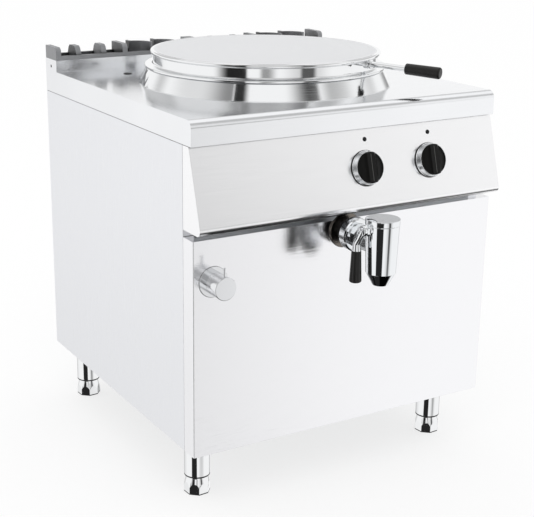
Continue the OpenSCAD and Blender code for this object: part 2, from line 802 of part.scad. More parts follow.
// Draw-off tap
module tap_rosette() color("silver") at_tap() tube_z(rosette_r, pipe_r, front_out, front_out + rosette_t);
module union_nut() color("silver") at_tap() difference() {
    rotate_extrude() polygon([[0, nut_back_out], [nut_r - nut_chamfer, nut_back_out],
        [nut_r, nut_back_out + nut_chamfer], [nut_r, nut_front_out - nut_chamfer],
        [nut_r - nut_chamfer, nut_front_out], [0, nut_front_out]]);
    rod_z(pipe_flange_r + part_gap, nut_back_out - overrun, nut_front_out - nut_lip);
    rod_z(neck_pipe_r + part_gap, nut_back_out, nut_front_out + overrun);
}
module tap_neck() color("silver") difference() {
    at_tap() union() {
        rod_z(pipe_flange_r, pipe_end_out, nut_front_out - nut_lip);
        rod_z(neck_pipe_r, pipe_end_out, neck_flats_out);
        rotate([0, 0, octagon_angle]) translate([0, 0, neck_flats_out])
            cylinder(r = neck_af / 2 / cos(octagon_angle), h = spout_out - neck_flats_out, $fn = 8);
    }
    at_tap() rod_z(pipe_bore_r, 0, spout_out);
    spout_envelope();
}
module spout_envelope() at_spout() rotate_extrude() polygon([[0, spout_low_z], [spout_low_r, spout_low_z],
    [spout_r, spout_rim_z], [0, spout_rim_z]]);
module spout() color("silver") difference() {
    union() {
        at_spout() rotate_extrude() polygon([[0, spout_mouth_z], [mouth_r, spout_mouth_z],
            [spout_low_r, spout_low_z], [spout_r, spout_rim_z], [0, spout_rim_z]]);
        at_spindle() intersection() {
            rod_z(boss_r, 0, boss_out);
            translate([-boss_r, -boss_r, 0]) cube([spout_rim_z - spindle_z + boss_r, 2 * boss_r, boss_out]);
        }
    }
    at_spout() rod_z(spout_bore_r, seat_z, spout_rim_z + overrun);
    at_spout() rod_z(seat_bore_r, seat_z - seat_t - overrun, seat_z + overrun);
    at_spout() rotate_extrude() polygon([
        [0, spout_mouth_z - overrun], [mouth_bore_r, spout_mouth_z - overrun],
        [mouth_bore_r, spout_mouth_z + mouth_land], [spout_low_r - spout_wall, spout_low_z],
        [spout_low_r - spout_wall, seat_z - seat_t], [0, seat_z - seat_t]]);
    at_tap() rod_z(pipe_bore_r, spout_out - spout_r - overrun, spout_out);
    at_spindle() rod_z(gland_thread_r, 0, boss_out + overrun);
}
module spout_cap() color("silver") at_spout() difference() {
    rotate_extrude() polygon([[0, spout_rim_z], [cap_r, spout_rim_z], [cap_r, spout_top_z - cap_top_chamfer],
        [cap_r - cap_top_chamfer, spout_top_z], [0, spout_top_z]]);
    rod_z(spout_bore_r, spout_rim_z - overrun, spout_top_z - cap_wall);
}
module spindle_gland() color("silver") at_spindle() difference() {
    union() {
        rod_z(gland_thread_r, spout_bore_r, boss_out);
        translate([0, 0, boss_out]) cylinder(r = gland_hex_r, h = gland_hex_l, $fn = 6);
    }
    rod_z(spindle_r + run_gap, 0, boss_out + 2 * gland_hex_l);
}
module tap_spindle() color("silver") at_spindle() {
    rod_z(spindle_r, crank_in + crank_t / 2, hub_front);
    rod_z(crank_hub_r, crank_in - crank_boss, crank_in + crank_t + crank_boss);
    rotate([0, 0, -180 + crank_angle]) {
        box(0, crank_e, -crank_web, crank_web, crank_in, crank_in + crank_t);
        translate([crank_e, 0, 0]) rod_z(crank_w, crank_in - crank_boss, crank_in + crank_t + crank_boss);
        translate([crank_e, 0, 0]) rod_z(crank_pin_r, crank_in - crank_pin_l, crank_in + crank_t / 2);
    }
}
module at_lever_end() translate([tap_x - hub_front - lever_out, spout_y + lever_back, spindle_z - lever_drop])
    children();
module tap_lever() color("silver") {
    difference() {
        union() {
            at_spindle() rod_z(hub_r, hub_back, hub_front);
            hull() {
                at_spindle() translate([0, 0, hub_front - hub_l / 2])
                    cylinder(r = lever_root_r, h = hub_l, $fn = 32);
                at_lever_end() sphere(r = lever_ball_r, $fn = 24);
            }
        }
        at_spindle() rod_z(spindle_r, 0, hub_front);
    }
    at_lever_end() translate([0, 0, -ferrule_h]) cylinder(r1 = ferrule_r, r2 = lever_ball_r, h = ferrule_h);
    at_lever_end() rod_z(tang_r, -ferrule_h - tang_l, -ferrule_h);
}
module tap_grip() color("black") at_lever_end() difference() {
    rotate_extrude() polygon(concat([[0, -ferrule_h]], [[tap_grip_r, -ferrule_h]],
        arc(tap_grip_end_r - tap_grip_round, tap_grip_low + tap_grip_round, tap_grip_round, 0, -90, 6),
        [[0, tap_grip_low]]));
    rod_z(tang_r, -ferrule_h - tang_l, overrun);
}
module valve_plunger() color("dimgray") at_spout() {
    rod_z(plunger_r, seat_z + part_gap, seat_z + plunger_t);
    rod_z(stem_r, seat_z + plunger_t, spindle_z - stem_top);
    difference() {
        box(yoke_x, yoke_x + yoke_t, -crank_e - yoke_edge, stem_r, spindle_z - stem_top - 2 * yoke_t,
            spindle_z);
        yoke_slot();
    }
}
module yoke_slot() {
    slot_r = crank_pin_r + slot_play;
    pin_y = crank_e * cos(crank_angle);
    pin_z = spindle_z - crank_e * sin(crank_angle);
    box(yoke_x - overrun, yoke_x + yoke_t + overrun, -crank_e - slot_play, slot_play - pin_y, pin_z - slot_r,
        pin_z + slot_r);
    for (y = [-crank_e - slot_play, slot_play - pin_y]) translate([yoke_x - overrun, y, pin_z])
        rotate([0, 90, 0]) cylinder(r = slot_r, h = yoke_t + 2 * overrun);
}

// Level valve
module level_rosette() color("silver") at_level()
    tube_z(level_rosette_r, level_shank_r, front_out, front_out + level_rosette_t);
module level_body() color("silver") at_level() difference() {
    union() {
        rod_z(level_r, front_out + level_rosette_t, front_out + level_fixed_l);
        rod_z(level_shank_r, front_out - level_shank_l, front_out + level_rosette_t);
    }
    rod_z(level_pipe_bore_r, -level_shank_l, front_out + level_fixed_l + overrun);
}
module level_knob() color("silver") at_level() {
    rotate_extrude() polygon([
        [0, front_out + level_fixed_l + part_gap], [level_r, front_out + level_fixed_l + part_gap],
        [level_r, front_out + level_l - level_chamfer], [level_r - level_chamfer, front_out + level_l],
        [0, front_out + level_l]]);
    rod_z(level_pipe_bore_r - run_gap, front_out + level_rosette_t, front_out + level_fixed_l + overrun);
    translate([0, 0, front_out + level_l - level_pin_back]) rotate([-90, 0, 0])
        rod_z(level_pin_r, level_r / 2, level_pin_top);
}

// Knobs, lamps and switches
module knob_bezels() color("silver") each_knob() difference() {
    rotate_extrude()
        polygon([[0, 0], [bezel_r, 0], [bezel_r, bezel_base_t], [bezel_front_r, bezel_h], [0, bezel_h]]);
    rod_z(knob_r + part_gap, bezel_base_t, bezel_h + overrun);
    rod_z(bezel_hole_r, -overrun, bezel_h);
}
module knob() color("black") {
    difference() {
        rotate_extrude() polygon([[0, knob_back], [knob_r, knob_back], [knob_r, knob_h - knob_chamfer],
            [knob_r - knob_chamfer, knob_h], [0, knob_h]]);
        for (s = [-1, 1]) translate([s * (scoop_bar + scoop_r), 0, knob_h + scoop_r - scoop_depth])
            rotate([90, 0, 0]) rod_z(scoop_r, -knob_r - overrun, knob_r + overrun);
    }
    rod_z(knob_boss_r, knob_back - knob_boss_l, knob_back);
    rod_z(knob_shaft_r, -knob_shaft_in, knob_back);
}
module knob_left() on_fascia(knob_x, knob_drop) knob();
module knob_right() on_fascia(knob_x + knob_pitch, knob_drop) knob();
module indicator_lamps() color("black") each_lamp() {
    rotate_extrude() polygon(concat([[0, 0]], arc(lamp_r - lamp_h, 0, lamp_h, 0, 90, 6), [[0, lamp_h]]));
    rod_z(lamp_stem_r, -lamp_stem_l, 0);
}
module switch_body(w) difference() {
    union() {
        translate([0, 0, -switch_l / 2 - sheet]) cube([w, w, switch_l], center = true);
        rod_z(switch_bush_r, -sheet, 0);
    }
    rod_z(knob_shaft_r + run_gap, -knob_shaft_in - knob_shaft_room, overrun);
}
module selector_switch() color("dimgray") on_fascia(knob_x, knob_drop) switch_body(switch_w);
module energy_regulator() color("dimgray") on_fascia(knob_x + knob_pitch, knob_drop) switch_body(regulator_w);

// Electrical pieces on the floor tray
module control_tray() color("silver") {
    box(tray_x0, tray_x1, tray_y, tray_y + sheet, tray_floor_z, tray_floor_z + tray_h);
    box(tray_x0, tray_x1, tray_y - tray_foot, tray_y, tray_floor_z, tray_floor_z + sheet);
}
module contactor() color("dimgray") difference() {
    box(contactor_x, contactor_x + contactor_w, tray_y - contactor_d, tray_y,
        contactor_z, contactor_z + contactor_h);
    box(contactor_x - overrun, contactor_x + contactor_w + overrun, tray_y - contactor_d - overrun,
        tray_y - contactor_d / 2, contactor_z - overrun, contactor_z + contactor_h / 4);
}
module terminal_block() color("beige") difference() {
    box(terminal_x, terminal_x + terminal_w, tray_y - terminal_d, tray_y,
        terminal_z, terminal_z + terminal_h);
    for (i = [0:terminal_ways - 1]) translate([terminal_x + (i + 0.5) * terminal_w / terminal_ways,
        tray_y - terminal_d - overrun, terminal_z + terminal_h / 2]) rotate([-90, 0, 0])
        cylinder(r = entry_r / 2, h = terminal_d / 2);
}
module cable_gland() color("black") translate([gland_x, gland_y, 0]) difference() {
    union() {
        rod_z(entry_cap_r, cabinet_z - entry_flange_t - entry_cap_l, cabinet_z - entry_flange_t);
        rod_z(entry_flange_r, cabinet_z - entry_flange_t, cabinet_z);
        rod_z(entry_neck_r, cabinet_z, tray_floor_z + 2 * entry_nut_t);
        rod_z(entry_flange_r, tray_floor_z, tray_floor_z + entry_nut_t);
    }
    rod_z(entry_r, 0, cabinet_z + 2 * entry_cap_l);
}

// Flue grilles
module fin_outline() polygon([[fin_y0, upstand_z], [fin_y0, grille_z], [fin_y0 + fin_lean, fin_z - fin_crown],
    [fin_y0 + 2 * fin_lean, fin_z], [fin_y1 - 2 * fin_lean, fin_z], [fin_y1 - fin_lean, fin_z - fin_crown],
    [fin_y1, grille_z], [fin_y1, upstand_z]]);
module end_outline() polygon(concat([[grille_y0, upstand_z]],
    arc(grille_y0 + end_round, fin_z - end_round, end_round, 180, 90, 6),
    [[grille_y1, fin_z], [grille_y1, upstand_z]]));
module vane(x) intersection() {
    translate([x, grille_y0 + vane_tail, 0]) tube_z(vane_r, vane_r - vane_t, upstand_z, fin_z);
    box(x, x + vane_r, grille_y0 + vane_tail, grille_y1, upstand_z, fin_z);
}
module flue_grille() {
    difference() {
        box(0, grille_l, grille_y0, grille_y1, upstand_z, grille_z);
        box(fin_t, grille_l - fin_t, grille_y0 + grille_bar, grille_y1 - grille_bar,
            upstand_z - overrun, grille_z + overrun);
    }
    for (x = [0, grille_l - fin_t]) along_x(x, x + fin_t) end_outline();
    for (s = [0, 1])
        along_x(grille_l * fin_shares[s] - fin_t / 2, grille_l * fin_shares[s] + fin_t / 2) fin_outline();
    along_x(grille_l * fin_shares[2] - fin_t / 2, grille_l * fin_shares[2] + fin_t / 2) end_outline();
    for (s = vane_shares) vane(grille_l * s - fin_lean);
    for (s = vane_shares) box(grille_l * s - fin_lean, grille_l * s, grille_y0 + vane_tail + vane_r - vane_t,
        grille_y1, upstand_z, fin_z);
}
module flue_grille_left() color("dimgray") translate([-grille_l, 0, 0]) flue_grille();
module flue_grille_right() color("dimgray") flue_grille();

in_frame() worktop();
in_frame() side_panel_left();
in_frame() side_panel_right();
in_frame() rear_panel();
in_frame() front_panel();
in_frame() control_panel();
in_frame() recess_strip();
in_frame() floor_tray();
in_frame() corner_posts();
in_frame() frame_rails();
in_frame() floor_screws();
in_frame() foot_tubes();
in_frame() foot_bushes();
in_frame() foot_front_left();
in_frame() foot_front_right();
in_frame() foot_rear_left();
in_frame() foot_rear_right();
in_frame() pan();
in_frame() pan_collar();
in_frame() steam_jacket();
in_frame() insulation();
in_frame() heating_elements();
in_frame() heater_flange();
in_frame() drain_pipe();
in_frame() level_pipe();
in_frame() safety_valve();
in_frame() lid();
in_frame() lid_gasket();
in_frame() lid_handle_rod();
in_frame() lid_grip();
in_frame() lid_hinge_arm();
in_frame() hinge_bracket();
in_frame() hinge_pin();
in_frame() tap_rosette();
in_frame() union_nut();
in_frame() tap_neck();
in_frame() spout();
in_frame() spout_cap();
in_frame() spindle_gland();
in_frame() tap_spindle();
in_frame() tap_lever();
in_frame() tap_grip();
in_frame() valve_plunger();
in_frame() level_rosette();
in_frame() level_body();
in_frame() level_knob();
in_frame() knob_bezels();
in_frame() knob_left();
in_frame() knob_right();
in_frame() indicator_lamps();
in_frame() selector_switch();
in_frame() energy_regulator();
in_frame() control_tray();
in_frame() contactor();
in_frame() terminal_block();
in_frame() cable_gland();
in_frame() flue_grille_left();
in_frame() flue_grille_right();
in_frame() worktop_plug();
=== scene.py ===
import math

import bmesh
import bpy
from mathutils import Matrix, Vector


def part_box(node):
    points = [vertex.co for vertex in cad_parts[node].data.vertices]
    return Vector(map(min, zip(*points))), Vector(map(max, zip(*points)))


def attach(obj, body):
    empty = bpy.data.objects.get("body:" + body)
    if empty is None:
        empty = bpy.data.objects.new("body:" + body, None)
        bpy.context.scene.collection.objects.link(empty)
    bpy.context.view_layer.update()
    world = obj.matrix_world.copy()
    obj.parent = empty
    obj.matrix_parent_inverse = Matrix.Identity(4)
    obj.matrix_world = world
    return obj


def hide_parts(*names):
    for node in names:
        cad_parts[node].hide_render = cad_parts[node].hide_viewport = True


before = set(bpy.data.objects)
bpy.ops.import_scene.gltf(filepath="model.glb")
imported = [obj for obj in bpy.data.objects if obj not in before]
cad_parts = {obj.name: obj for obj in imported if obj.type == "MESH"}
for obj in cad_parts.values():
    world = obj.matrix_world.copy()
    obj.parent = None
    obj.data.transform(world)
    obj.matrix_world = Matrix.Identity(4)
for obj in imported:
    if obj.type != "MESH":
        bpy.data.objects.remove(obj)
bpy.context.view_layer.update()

# Floor tray, corner posts and rails
# Folded from galvanised sheet and spot welded: the skeleton that the pan, the casing and the feet hang on.
# Zinc shows as dull blue-grey crystals a few millimetres wide, which the open underside lets one see.
ZINC_CRYSTAL_MM = 7.0
COLOUR_A, COLOUR_B, COLOUR_OUT = 6, 7, 2  # a Mix node's sockets for colours


def linear(code):
    """An sRGB hex colour as linear red, green, blue and alpha."""
    parts = [int(code[i : i + 2], 16) / 255 for i in (1, 3, 5)]
    return tuple(c / 12.92 if c <= 0.04045 else ((c + 0.055) / 1.055) ** 2.4 for c in parts) + (1.0,)


def add(tree, kind, sockets=None, **settings):
    """Adds a node with its own settings; each socket gets its value, or the output that feeds it."""
    node = tree.nodes.new(kind)
    for key, value in settings.items():
        setattr(node, key, value)
    for key, value in (sockets or {}).items():
        if isinstance(value, bpy.types.NodeSocket):
            tree.links.new(value, node.inputs[key])
        else:
            node.inputs[key].default_value = value
    return node


def new_finish(name, **values):
    """A material with constant values on its shader's own sockets; returns it with its tree."""
    material = bpy.data.materials.new(name)
    material.use_nodes = True
    for key, value in values.items():
        material.node_tree.nodes["Principled BSDF"].inputs[key.replace("_", " ")].default_value = value
    return material, material.node_tree


def surface_pattern(tree, size_mm, stretch=(1, 1, 1), detail=3.0):
    """Noise on Object coordinates whose cells are size_mm across, drawn out where stretch is under 1."""
    spot = add(tree, "ShaderNodeTexCoord").outputs["Object"]
    scaled = add(tree, "ShaderNodeMapping", {"Vector": spot, "Scale": [1000 / size_mm * s for s in stretch]})
    noise = {"Vector": scaled.outputs["Vector"], "Scale": 1.0, "Detail": detail}
    return add(tree, "ShaderNodeTexNoise", noise).outputs["Fac"]


def two_tones(tree, pattern, *tones):
    """Mixes two colours, each an sRGB hex code or a node's output, by a pattern."""
    first, second = (linear(tone) if isinstance(tone, str) else tone for tone in tones)
    mix = add(tree, "ShaderNodeMix", {0: pattern, COLOUR_A: first, COLOUR_B: second}, data_type="RGBA")
    return mix.outputs[COLOUR_OUT]


def vary(tree, pattern, tones=None, rough=None, depth_mm=None, low=0.3, high=0.7):
    """Lets a pattern vary a finish: its colour, its roughness over the pattern's range low..high, its relief."""
    shader = tree.nodes["Principled BSDF"].inputs
    if tones:
        tree.links.new(two_tones(tree, pattern, *tones), shader["Base Color"])
    if rough:
        span = {"Value": pattern, "From Min": low, "From Max": high, "To Min": rough[0], "To Max": rough[1]}
        tree.links.new(add(tree, "ShaderNodeMapRange", span).outputs["Result"], shader["Roughness"])
    if depth_mm:
        bump = add(tree, "ShaderNodeBump", {"Height": pattern, "Strength": 1.0, "Distance": depth_mm / 1000})
        tree.links.new(bump.outputs["Normal"], shader["Normal"])


def galvanised_sheet():
    """Hot-dip galvanised steel: metallic, dull, with a crystal pattern in tone and gloss."""
    material, tree = new_finish("galvanised_sheet", Metallic=1.0, Roughness=0.45)
    spot = add(tree, "ShaderNodeTexCoord").outputs["Object"]
    crystal = add(tree, "ShaderNodeTexVoronoi", {"Vector": spot, "Scale": 1000 / ZINC_CRYSTAL_MM})
    tone = add(tree, "ShaderNodeSeparateColor", {"Color": crystal.outputs["Color"]}).outputs["Red"]
    vary(tree, tone, ("#9ea4a8", "#c2c7ca"), (0.38, 0.55), low=0.0, high=1.0)
    vary(tree, surface_pattern(tree, 3.0), depth_mm=0.02)
    return material


def finish_node(material, *nodes):
    """Gives CAD nodes that keep their own shape a finish."""
    for node in nodes:
        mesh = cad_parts[node].data
        mesh.materials.clear()
        mesh.materials.append(material)


zinc = galvanised_sheet()
finish_node(zinc, "floor_tray", "corner_posts", "frame_rails", "control_tray", "heater_flange")

# Floor screws
# Pan-head screws of bright plated steel that hold the floor tray to the corner posts from below.
# A thin film of zinc gives them a plain, slightly cloudy shine.


def plated_steel():
    """Bright zinc plating on a small steel part: a slightly uneven shine."""
    material, tree = new_finish("plated_steel", Base_Color=linear("#c9ccd0"), Metallic=1.0, Roughness=0.25)
    vary(tree, surface_pattern(tree, 4.0), rough=(0.2, 0.34))
    return material


finish_node(plated_steel(), "floor_screws")

# Feet
# Each foot is a polished stainless tube under the cabinet's corner with a black nylon bush in its end. The octagonal
# levelling foot of polished steel turns on a threaded stem in the bush and stands on a thin black plastic glide.
TUBE_R, TUBE_WALL, TUBE_LOW_Z, CABINET_Z = 30.0, 2.5, 46.0, 142.0
BUSH_LOW_Z, BUSH_STEM_TOP_Z, STEM_HOLE_R = 43.0, 60.0, 10.0
GLIDE_T = 3.0
FEET = {"foot_front_left": (-336, 100), "foot_front_right": (336, 100),
        "foot_rear_left": (-336, 738), "foot_rear_right": (336, 738)}
DEPTH_MIDDLE = 308.75  # from the worktop's front edge back to the frame's origin
SHARP_ANGLE = math.radians(32)
MERGE_M, FLAT_ANGLE, BEVEL_ANGLE = 2e-5, math.radians(0.6), math.radians(35)
WIDE_FACE_M = 0.005


def place(x, y, z):
    """A point in millimetres, from the middle of the worktop's front edge on the floor, as metres in the frame."""
    return Vector((x, y - DEPTH_MIDDLE, z)) / 1000


def eased(*corners, steps=4):
    """An outline in millimetres whose corners (r, z, radius) are rounded; (r, z) stays sharp."""
    points = []
    for i, corner in enumerate(corners):
        here = Vector(corner[:2])
        if len(corner) == 2:
            points.append(here)
            continue
        radius = corner[2]
        before = (Vector(corners[i - 1][:2]) - here).normalized()
        after = (Vector(corners[(i + 1) % len(corners)][:2]) - here).normalized()
        half = before.angle(after) / 2
        centre = here + (before + after).normalized() * radius / math.sin(half)
        start, end = here + before * radius / math.tan(half), here + after * radius / math.tan(half)
        first, last = (start - centre).normalized(), (end - centre).normalized()
        points += [centre + first.slerp(last, step / steps) * radius for step in range(steps + 1)]
    return [tuple(point) for point in points]


def turning_tree():
    """Geometry Nodes: an outline of points in the XZ plane is swept round Z in equal steps and closed."""
    tree = bpy.data.node_groups.new("turned_form", "GeometryNodeTree")
    for name, kind in (("Outline", "Geometry"), ("Steps Round", "Int"), ("Finish", "Material")):
        tree.interface.new_socket(name, in_out="INPUT", socket_type="NodeSocket" + kind)
    tree.interface.new_socket("Form", in_out="OUTPUT", socket_type="NodeSocketGeometry")
    given = add(tree, "NodeGroupInput").outputs
    count = add(tree, "GeometryNodeAttributeDomainSize", {0: given["Outline"]}).outputs["Point Count"]
    columns = add(tree, "FunctionNodeIntegerMath", {0: given["Steps Round"], 1: 1}, operation="ADD").outputs[0]
    grid = add(tree, "GeometryNodeMeshGrid", {"Vertices X": columns, "Vertices Y": count}).outputs["Mesh"]
    index = add(tree, "GeometryNodeInputIndex").outputs["Index"]
    column = add(tree, "FunctionNodeIntegerMath", {0: index, 1: count}, operation="DIVIDE_FLOOR").outputs[0]
    row = add(tree, "FunctionNodeIntegerMath", {0: index, 1: count}, operation="MODULO").outputs[0]
    position = add(tree, "GeometryNodeInputPosition").outputs["Position"]
    sample = add(tree, "GeometryNodeSampleIndex", data_type="FLOAT_VECTOR", domain="POINT")
    for socket, source in (("Geometry", given["Outline"]), ("Value", position), ("Index", row)):
        tree.links.new(source, sample.inputs[socket])
    outline = add(tree, "ShaderNodeSeparateXYZ", {"Vector": sample.outputs["Value"]}).outputs
    share = add(tree, "ShaderNodeMath", {0: column, 1: given["Steps Round"]}, operation="DIVIDE").outputs[0]
    angle = add(tree, "ShaderNodeMath", {0: share, 1: 2 * math.pi}, operation="MULTIPLY").outputs[0]
    spot = add(tree, "ShaderNodeCombineXYZ", {"Z": outline["Z"]})
    for axis, wave in (("X", "COSINE"), ("Y", "SINE")):
        part = add(tree, "ShaderNodeMath", {0: angle}, operation=wave).outputs[0]
        reach = add(tree, "ShaderNodeMath", {0: outline["X"], 1: part}, operation="MULTIPLY").outputs[0]
        tree.links.new(reach, spot.inputs[axis])
    form = add(tree, "GeometryNodeSetPosition", {"Geometry": grid, "Position": spot.outputs["Vector"]})
    for kind, sockets in (("GeometryNodeMergeByDistance", {"Distance": 2e-6}), ("GeometryNodeRealizeInstances", {}),
                          ("GeometryNodeSetMaterial", {"Material": given["Finish"]})):
        form = add(tree, kind, {"Geometry": form.outputs["Geometry"], **sockets})
    add(tree, "NodeGroupOutput", {"Form": form.outputs["Geometry"]})
    return tree


def as_object(name, data):
    """A new object at the origin that carries this mesh, lamp or camera."""
    piece = bpy.data.objects.new(name, data)
    bpy.context.scene.collection.objects.link(piece)
    return piece


def evaluated(piece):
    """Turns a piece with modifiers into a plain mesh."""
    bpy.context.view_layer.update()
    result = bpy.data.meshes.new_from_object(piece.evaluated_get(bpy.context.evaluated_depsgraph_get()))
    piece.modifiers.clear()
    spent, piece.data = piece.data, result
    bpy.data.meshes.remove(spent)
    result.name = piece.name
    return piece


def run_tree(piece, tree, **values):
    """Runs a Geometry Nodes tree on a piece with its inputs set by name, and keeps the result as a plain mesh."""
    modifier = piece.modifiers.new("form", "NODES")
    modifier.node_group = tree
    sockets = {item.name: item.identifier for item in tree.interface.items_tree if item.in_out == "INPUT"}
    for name, value in values.items():
        modifier[sockets[name.replace("_", " ")]] = value
    return evaluated(piece)


def smoothed(piece):
    """Shades a piece smooth between its sharp edges, with its flat faces kept flat to the eye."""
    piece.data.shade_smooth()
    piece.data.set_sharp_from_angle(angle=SHARP_ANGLE)
    weighted = piece.modifiers.new("flat faces", "WEIGHTED_NORMAL")
    weighted.keep_sharp = True
    return evaluated(piece)


turning = turning_tree()


def turned(name, outline, finish, where, steps=96):
    """A turned piece from a closed outline in millimetres, swept round Z and put in place by a matrix."""
    points = [(r / 1000, 0, z / 1000) for r, z in outline]
    mesh = bpy.data.meshes.new(name)
    mesh.from_pydata(points + points[:1], [], [])
    piece = run_tree(as_object(name, mesh), turning, Steps_Round=steps, Finish=finish)
    shape = bmesh.new()
    shape.from_mesh(piece.data)
    shape.transform(where)
    bmesh.ops.dissolve_degenerate(shape, dist=1e-7, edges=shape.edges)
    bmesh.ops.recalc_face_normals(shape, faces=shape.faces)
    for face in shape.faces:
        face.material_index = 0
    shape.to_mesh(piece.data)
    shape.free()
    piece.data.materials.clear()
    piece.data.materials.append(finish)
    return smoothed(piece)


def joined(name, *parts):
    """Puts several finished parts into one piece."""
    mesh, shape, finishes = bpy.data.meshes.new(name), bmesh.new(), []
    for part in parts:
        first = len(shape.faces)
        shape.from_mesh(part.data)
        shape.faces.ensure_lookup_table()
        for finish in part.data.materials:
            if finish not in finishes:
                finishes.append(finish)
        for face in shape.faces[first:]:
            face.material_index = finishes.index(part.data.materials[face.material_index])
    shape.to_mesh(mesh)
    shape.free()
    for finish in finishes:
        mesh.materials.append(finish)
    for part in parts:
        bpy.data.objects.remove(part)
    return smoothed(as_object(name, mesh))


def worked_copy(node, finish, bevel_mm, fold=None, fold_mm=0.0):
    """A CAD node's own shape, its loose triangles merged and its edges eased; fold_mm rounds the edges fold picks."""
    shape = bmesh.new()
    shape.from_mesh(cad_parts[node].data)
    bmesh.ops.remove_doubles(shape, verts=shape.verts, dist=MERGE_M)
    bmesh.ops.dissolve_limit(shape, angle_limit=FLAT_ANGLE, verts=shape.verts, edges=shape.edges)
    bends = [edge for edge in shape.edges if fold and edge.is_convex and fold(*(vert.co for vert in edge.verts))
             and min(face.calc_area() for face in edge.link_faces) > WIDE_FACE_M * edge.calc_length()]
    if bends:
        bmesh.ops.bevel(shape, geom=bends, offset=fold_mm / 1000, segments=5, profile=0.5, affect="EDGES")
    mesh = bpy.data.meshes.new(node + "_finished")
    shape.to_mesh(mesh)
    shape.free()
    mesh.materials.append(finish)
    for face in mesh.polygons:
        face.material_index = 0
    piece = as_object(mesh.name, mesh)
    bevel = piece.modifiers.new("eased edges", "BEVEL")
    bevel.width, bevel.segments, bevel.limit_method, bevel.angle_limit = bevel_mm / 1000, 2, "ANGLE", BEVEL_ANGLE
    return smoothed(evaluated(piece))


def settle(piece, body, slot, *nodes):
    """Attaches a finished piece to the body it moves with and hides the CAD nodes it stands for; slot is not used."""
    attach(piece, body)
    if nodes:
        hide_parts(*nodes)


def standing(x, y, z=0.0):
    """A turned piece's axis upright at this point."""
    return Matrix.Translation(place(x, y, z))


def polished_steel():
    """Mirror-polished stainless steel: almost white, with faint polishing haze in its gloss."""
    material, tree = new_finish("polished_stainless_steel", Base_Color=linear("#f1f2f3"), Metallic=1.0, Roughness=0.06)
    vary(tree, surface_pattern(tree, 30.0), rough=(0.045, 0.085))
    return material


def moulded_nylon():
    """Black moulded nylon: matt, with the fine spark-eroded grain of the mould."""
    material, tree = new_finish("moulded_nylon", Base_Color=linear("#1a1a1c"), Roughness=0.5, IOR=1.53)
    vary(tree, surface_pattern(tree, 1.2), rough=(0.42, 0.58), depth_mm=0.03)
    return material


mirror_steel, nylon = polished_steel(), moulded_nylon()
tube_outline = eased((TUBE_R, TUBE_LOW_Z, 0.8), (TUBE_R, CABINET_Z), (TUBE_R - TUBE_WALL, CABINET_Z),
                     (TUBE_R - TUBE_WALL, TUBE_LOW_Z))
bush_outline = eased((TUBE_R, BUSH_LOW_Z, 0.6), (TUBE_R, TUBE_LOW_Z, 0.6), (TUBE_R - TUBE_WALL, TUBE_LOW_Z),
                     (TUBE_R - TUBE_WALL, BUSH_STEM_TOP_Z), (STEM_HOLE_R, BUSH_STEM_TOP_Z),
                     (STEM_HOLE_R, BUSH_LOW_Z, 0.6))
tubes = [turned("tube_" + foot, tube_outline, mirror_steel, standing(*spot)) for foot, spot in FEET.items()]
settle(joined("foot_tubes_polished", *tubes), "cabinet", "foot_steel", "foot_tubes")
bushes = [turned("bush_" + foot, bush_outline, nylon, standing(*spot)) for foot, spot in FEET.items()]
settle(joined("foot_bushes_nylon", *bushes), "cabinet", "black_plastic", "foot_bushes")


def levelling_foot(node):
    """The octagonal screw foot, its lowest GLIDE_T millimetres black."""
    piece = worked_copy(node, mirror_steel, 0.7)
    shape = bmesh.new()
    shape.from_mesh(piece.data)
    every = shape.verts[:] + shape.edges[:] + shape.faces[:]
    bmesh.ops.bisect_plane(shape, geom=every, plane_co=(0, 0, GLIDE_T / 1000), plane_no=(0, 0, 1), dist=1e-6)
    for face in shape.faces:
        if face.calc_center_median().z < GLIDE_T / 1000:
            face.material_index = 1
    shape.to_mesh(piece.data)
    shape.free()
    piece.data.materials.append(nylon)
    return smoothed(piece)


for foot in FEET:
    settle(levelling_foot(foot), foot, "foot_steel", foot)

# Pan
# Deep-drawn from 2 mm stainless steel and ground inside, with a wide radius at the bottom that is easy to clean.
# Fine rings of the grinding belt run round its wall, and liquid leaves by a hole low in its front.
PAN = (0, 376)
PAN_R, PAN_WALL, PAN_FLOOR_Z, RIM_Z, PAN_ROUND = 265.0, 2.0, 586.0, 928.0, 28.0
DRAIN_X, DRAIN_Z, DRAIN_R = -18.0, 612.0, 20.0
DRILL_Y, DRILL_FROM, DRILL_TO = 246.0, 60.0, 140.0
GRIND_RING_MM = 2.5


def ring_pattern(tree, size_mm):
    """Fine rings round the pan's upright axis, as a turning or grinding tool leaves them."""
    spot = add(tree, "ShaderNodeTexCoord").outputs["Object"]
    local = add(tree, "ShaderNodeMapping", {"Vector": spot, "Location": -place(*PAN, 0)}).outputs["Vector"]
    parts = add(tree, "ShaderNodeSeparateXYZ", {"Vector": local}).outputs
    flat = add(tree, "ShaderNodeCombineXYZ", {"X": parts["X"], "Y": parts["Y"]}).outputs["Vector"]
    radius = add(tree, "ShaderNodeVectorMath", {0: flat}, operation="LENGTH").outputs["Value"]
    ring = add(tree, "ShaderNodeCombineXYZ", {"X": radius, "Y": parts["Z"]}).outputs["Vector"]
    scaled = add(tree, "ShaderNodeMapping", {"Vector": ring, "Scale": (1000 / size_mm, 1000 / size_mm, 1)})
    noise = {"Vector": scaled.outputs["Vector"], "Scale": 1.0, "Detail": 2.0}
    return add(tree, "ShaderNodeTexNoise", noise).outputs["Fac"]


def ground_steel():
    """Ground stainless steel: satin, with rings drawn coarse enough to show."""
    material, tree = new_finish("ground_stainless_steel", Base_Color=linear("#dcdee0"), Metallic=1.0, Roughness=0.3)
    vary(tree, ring_pattern(tree, GRIND_RING_MM), rough=(0.24, 0.38), depth_mm=0.02)
    return material


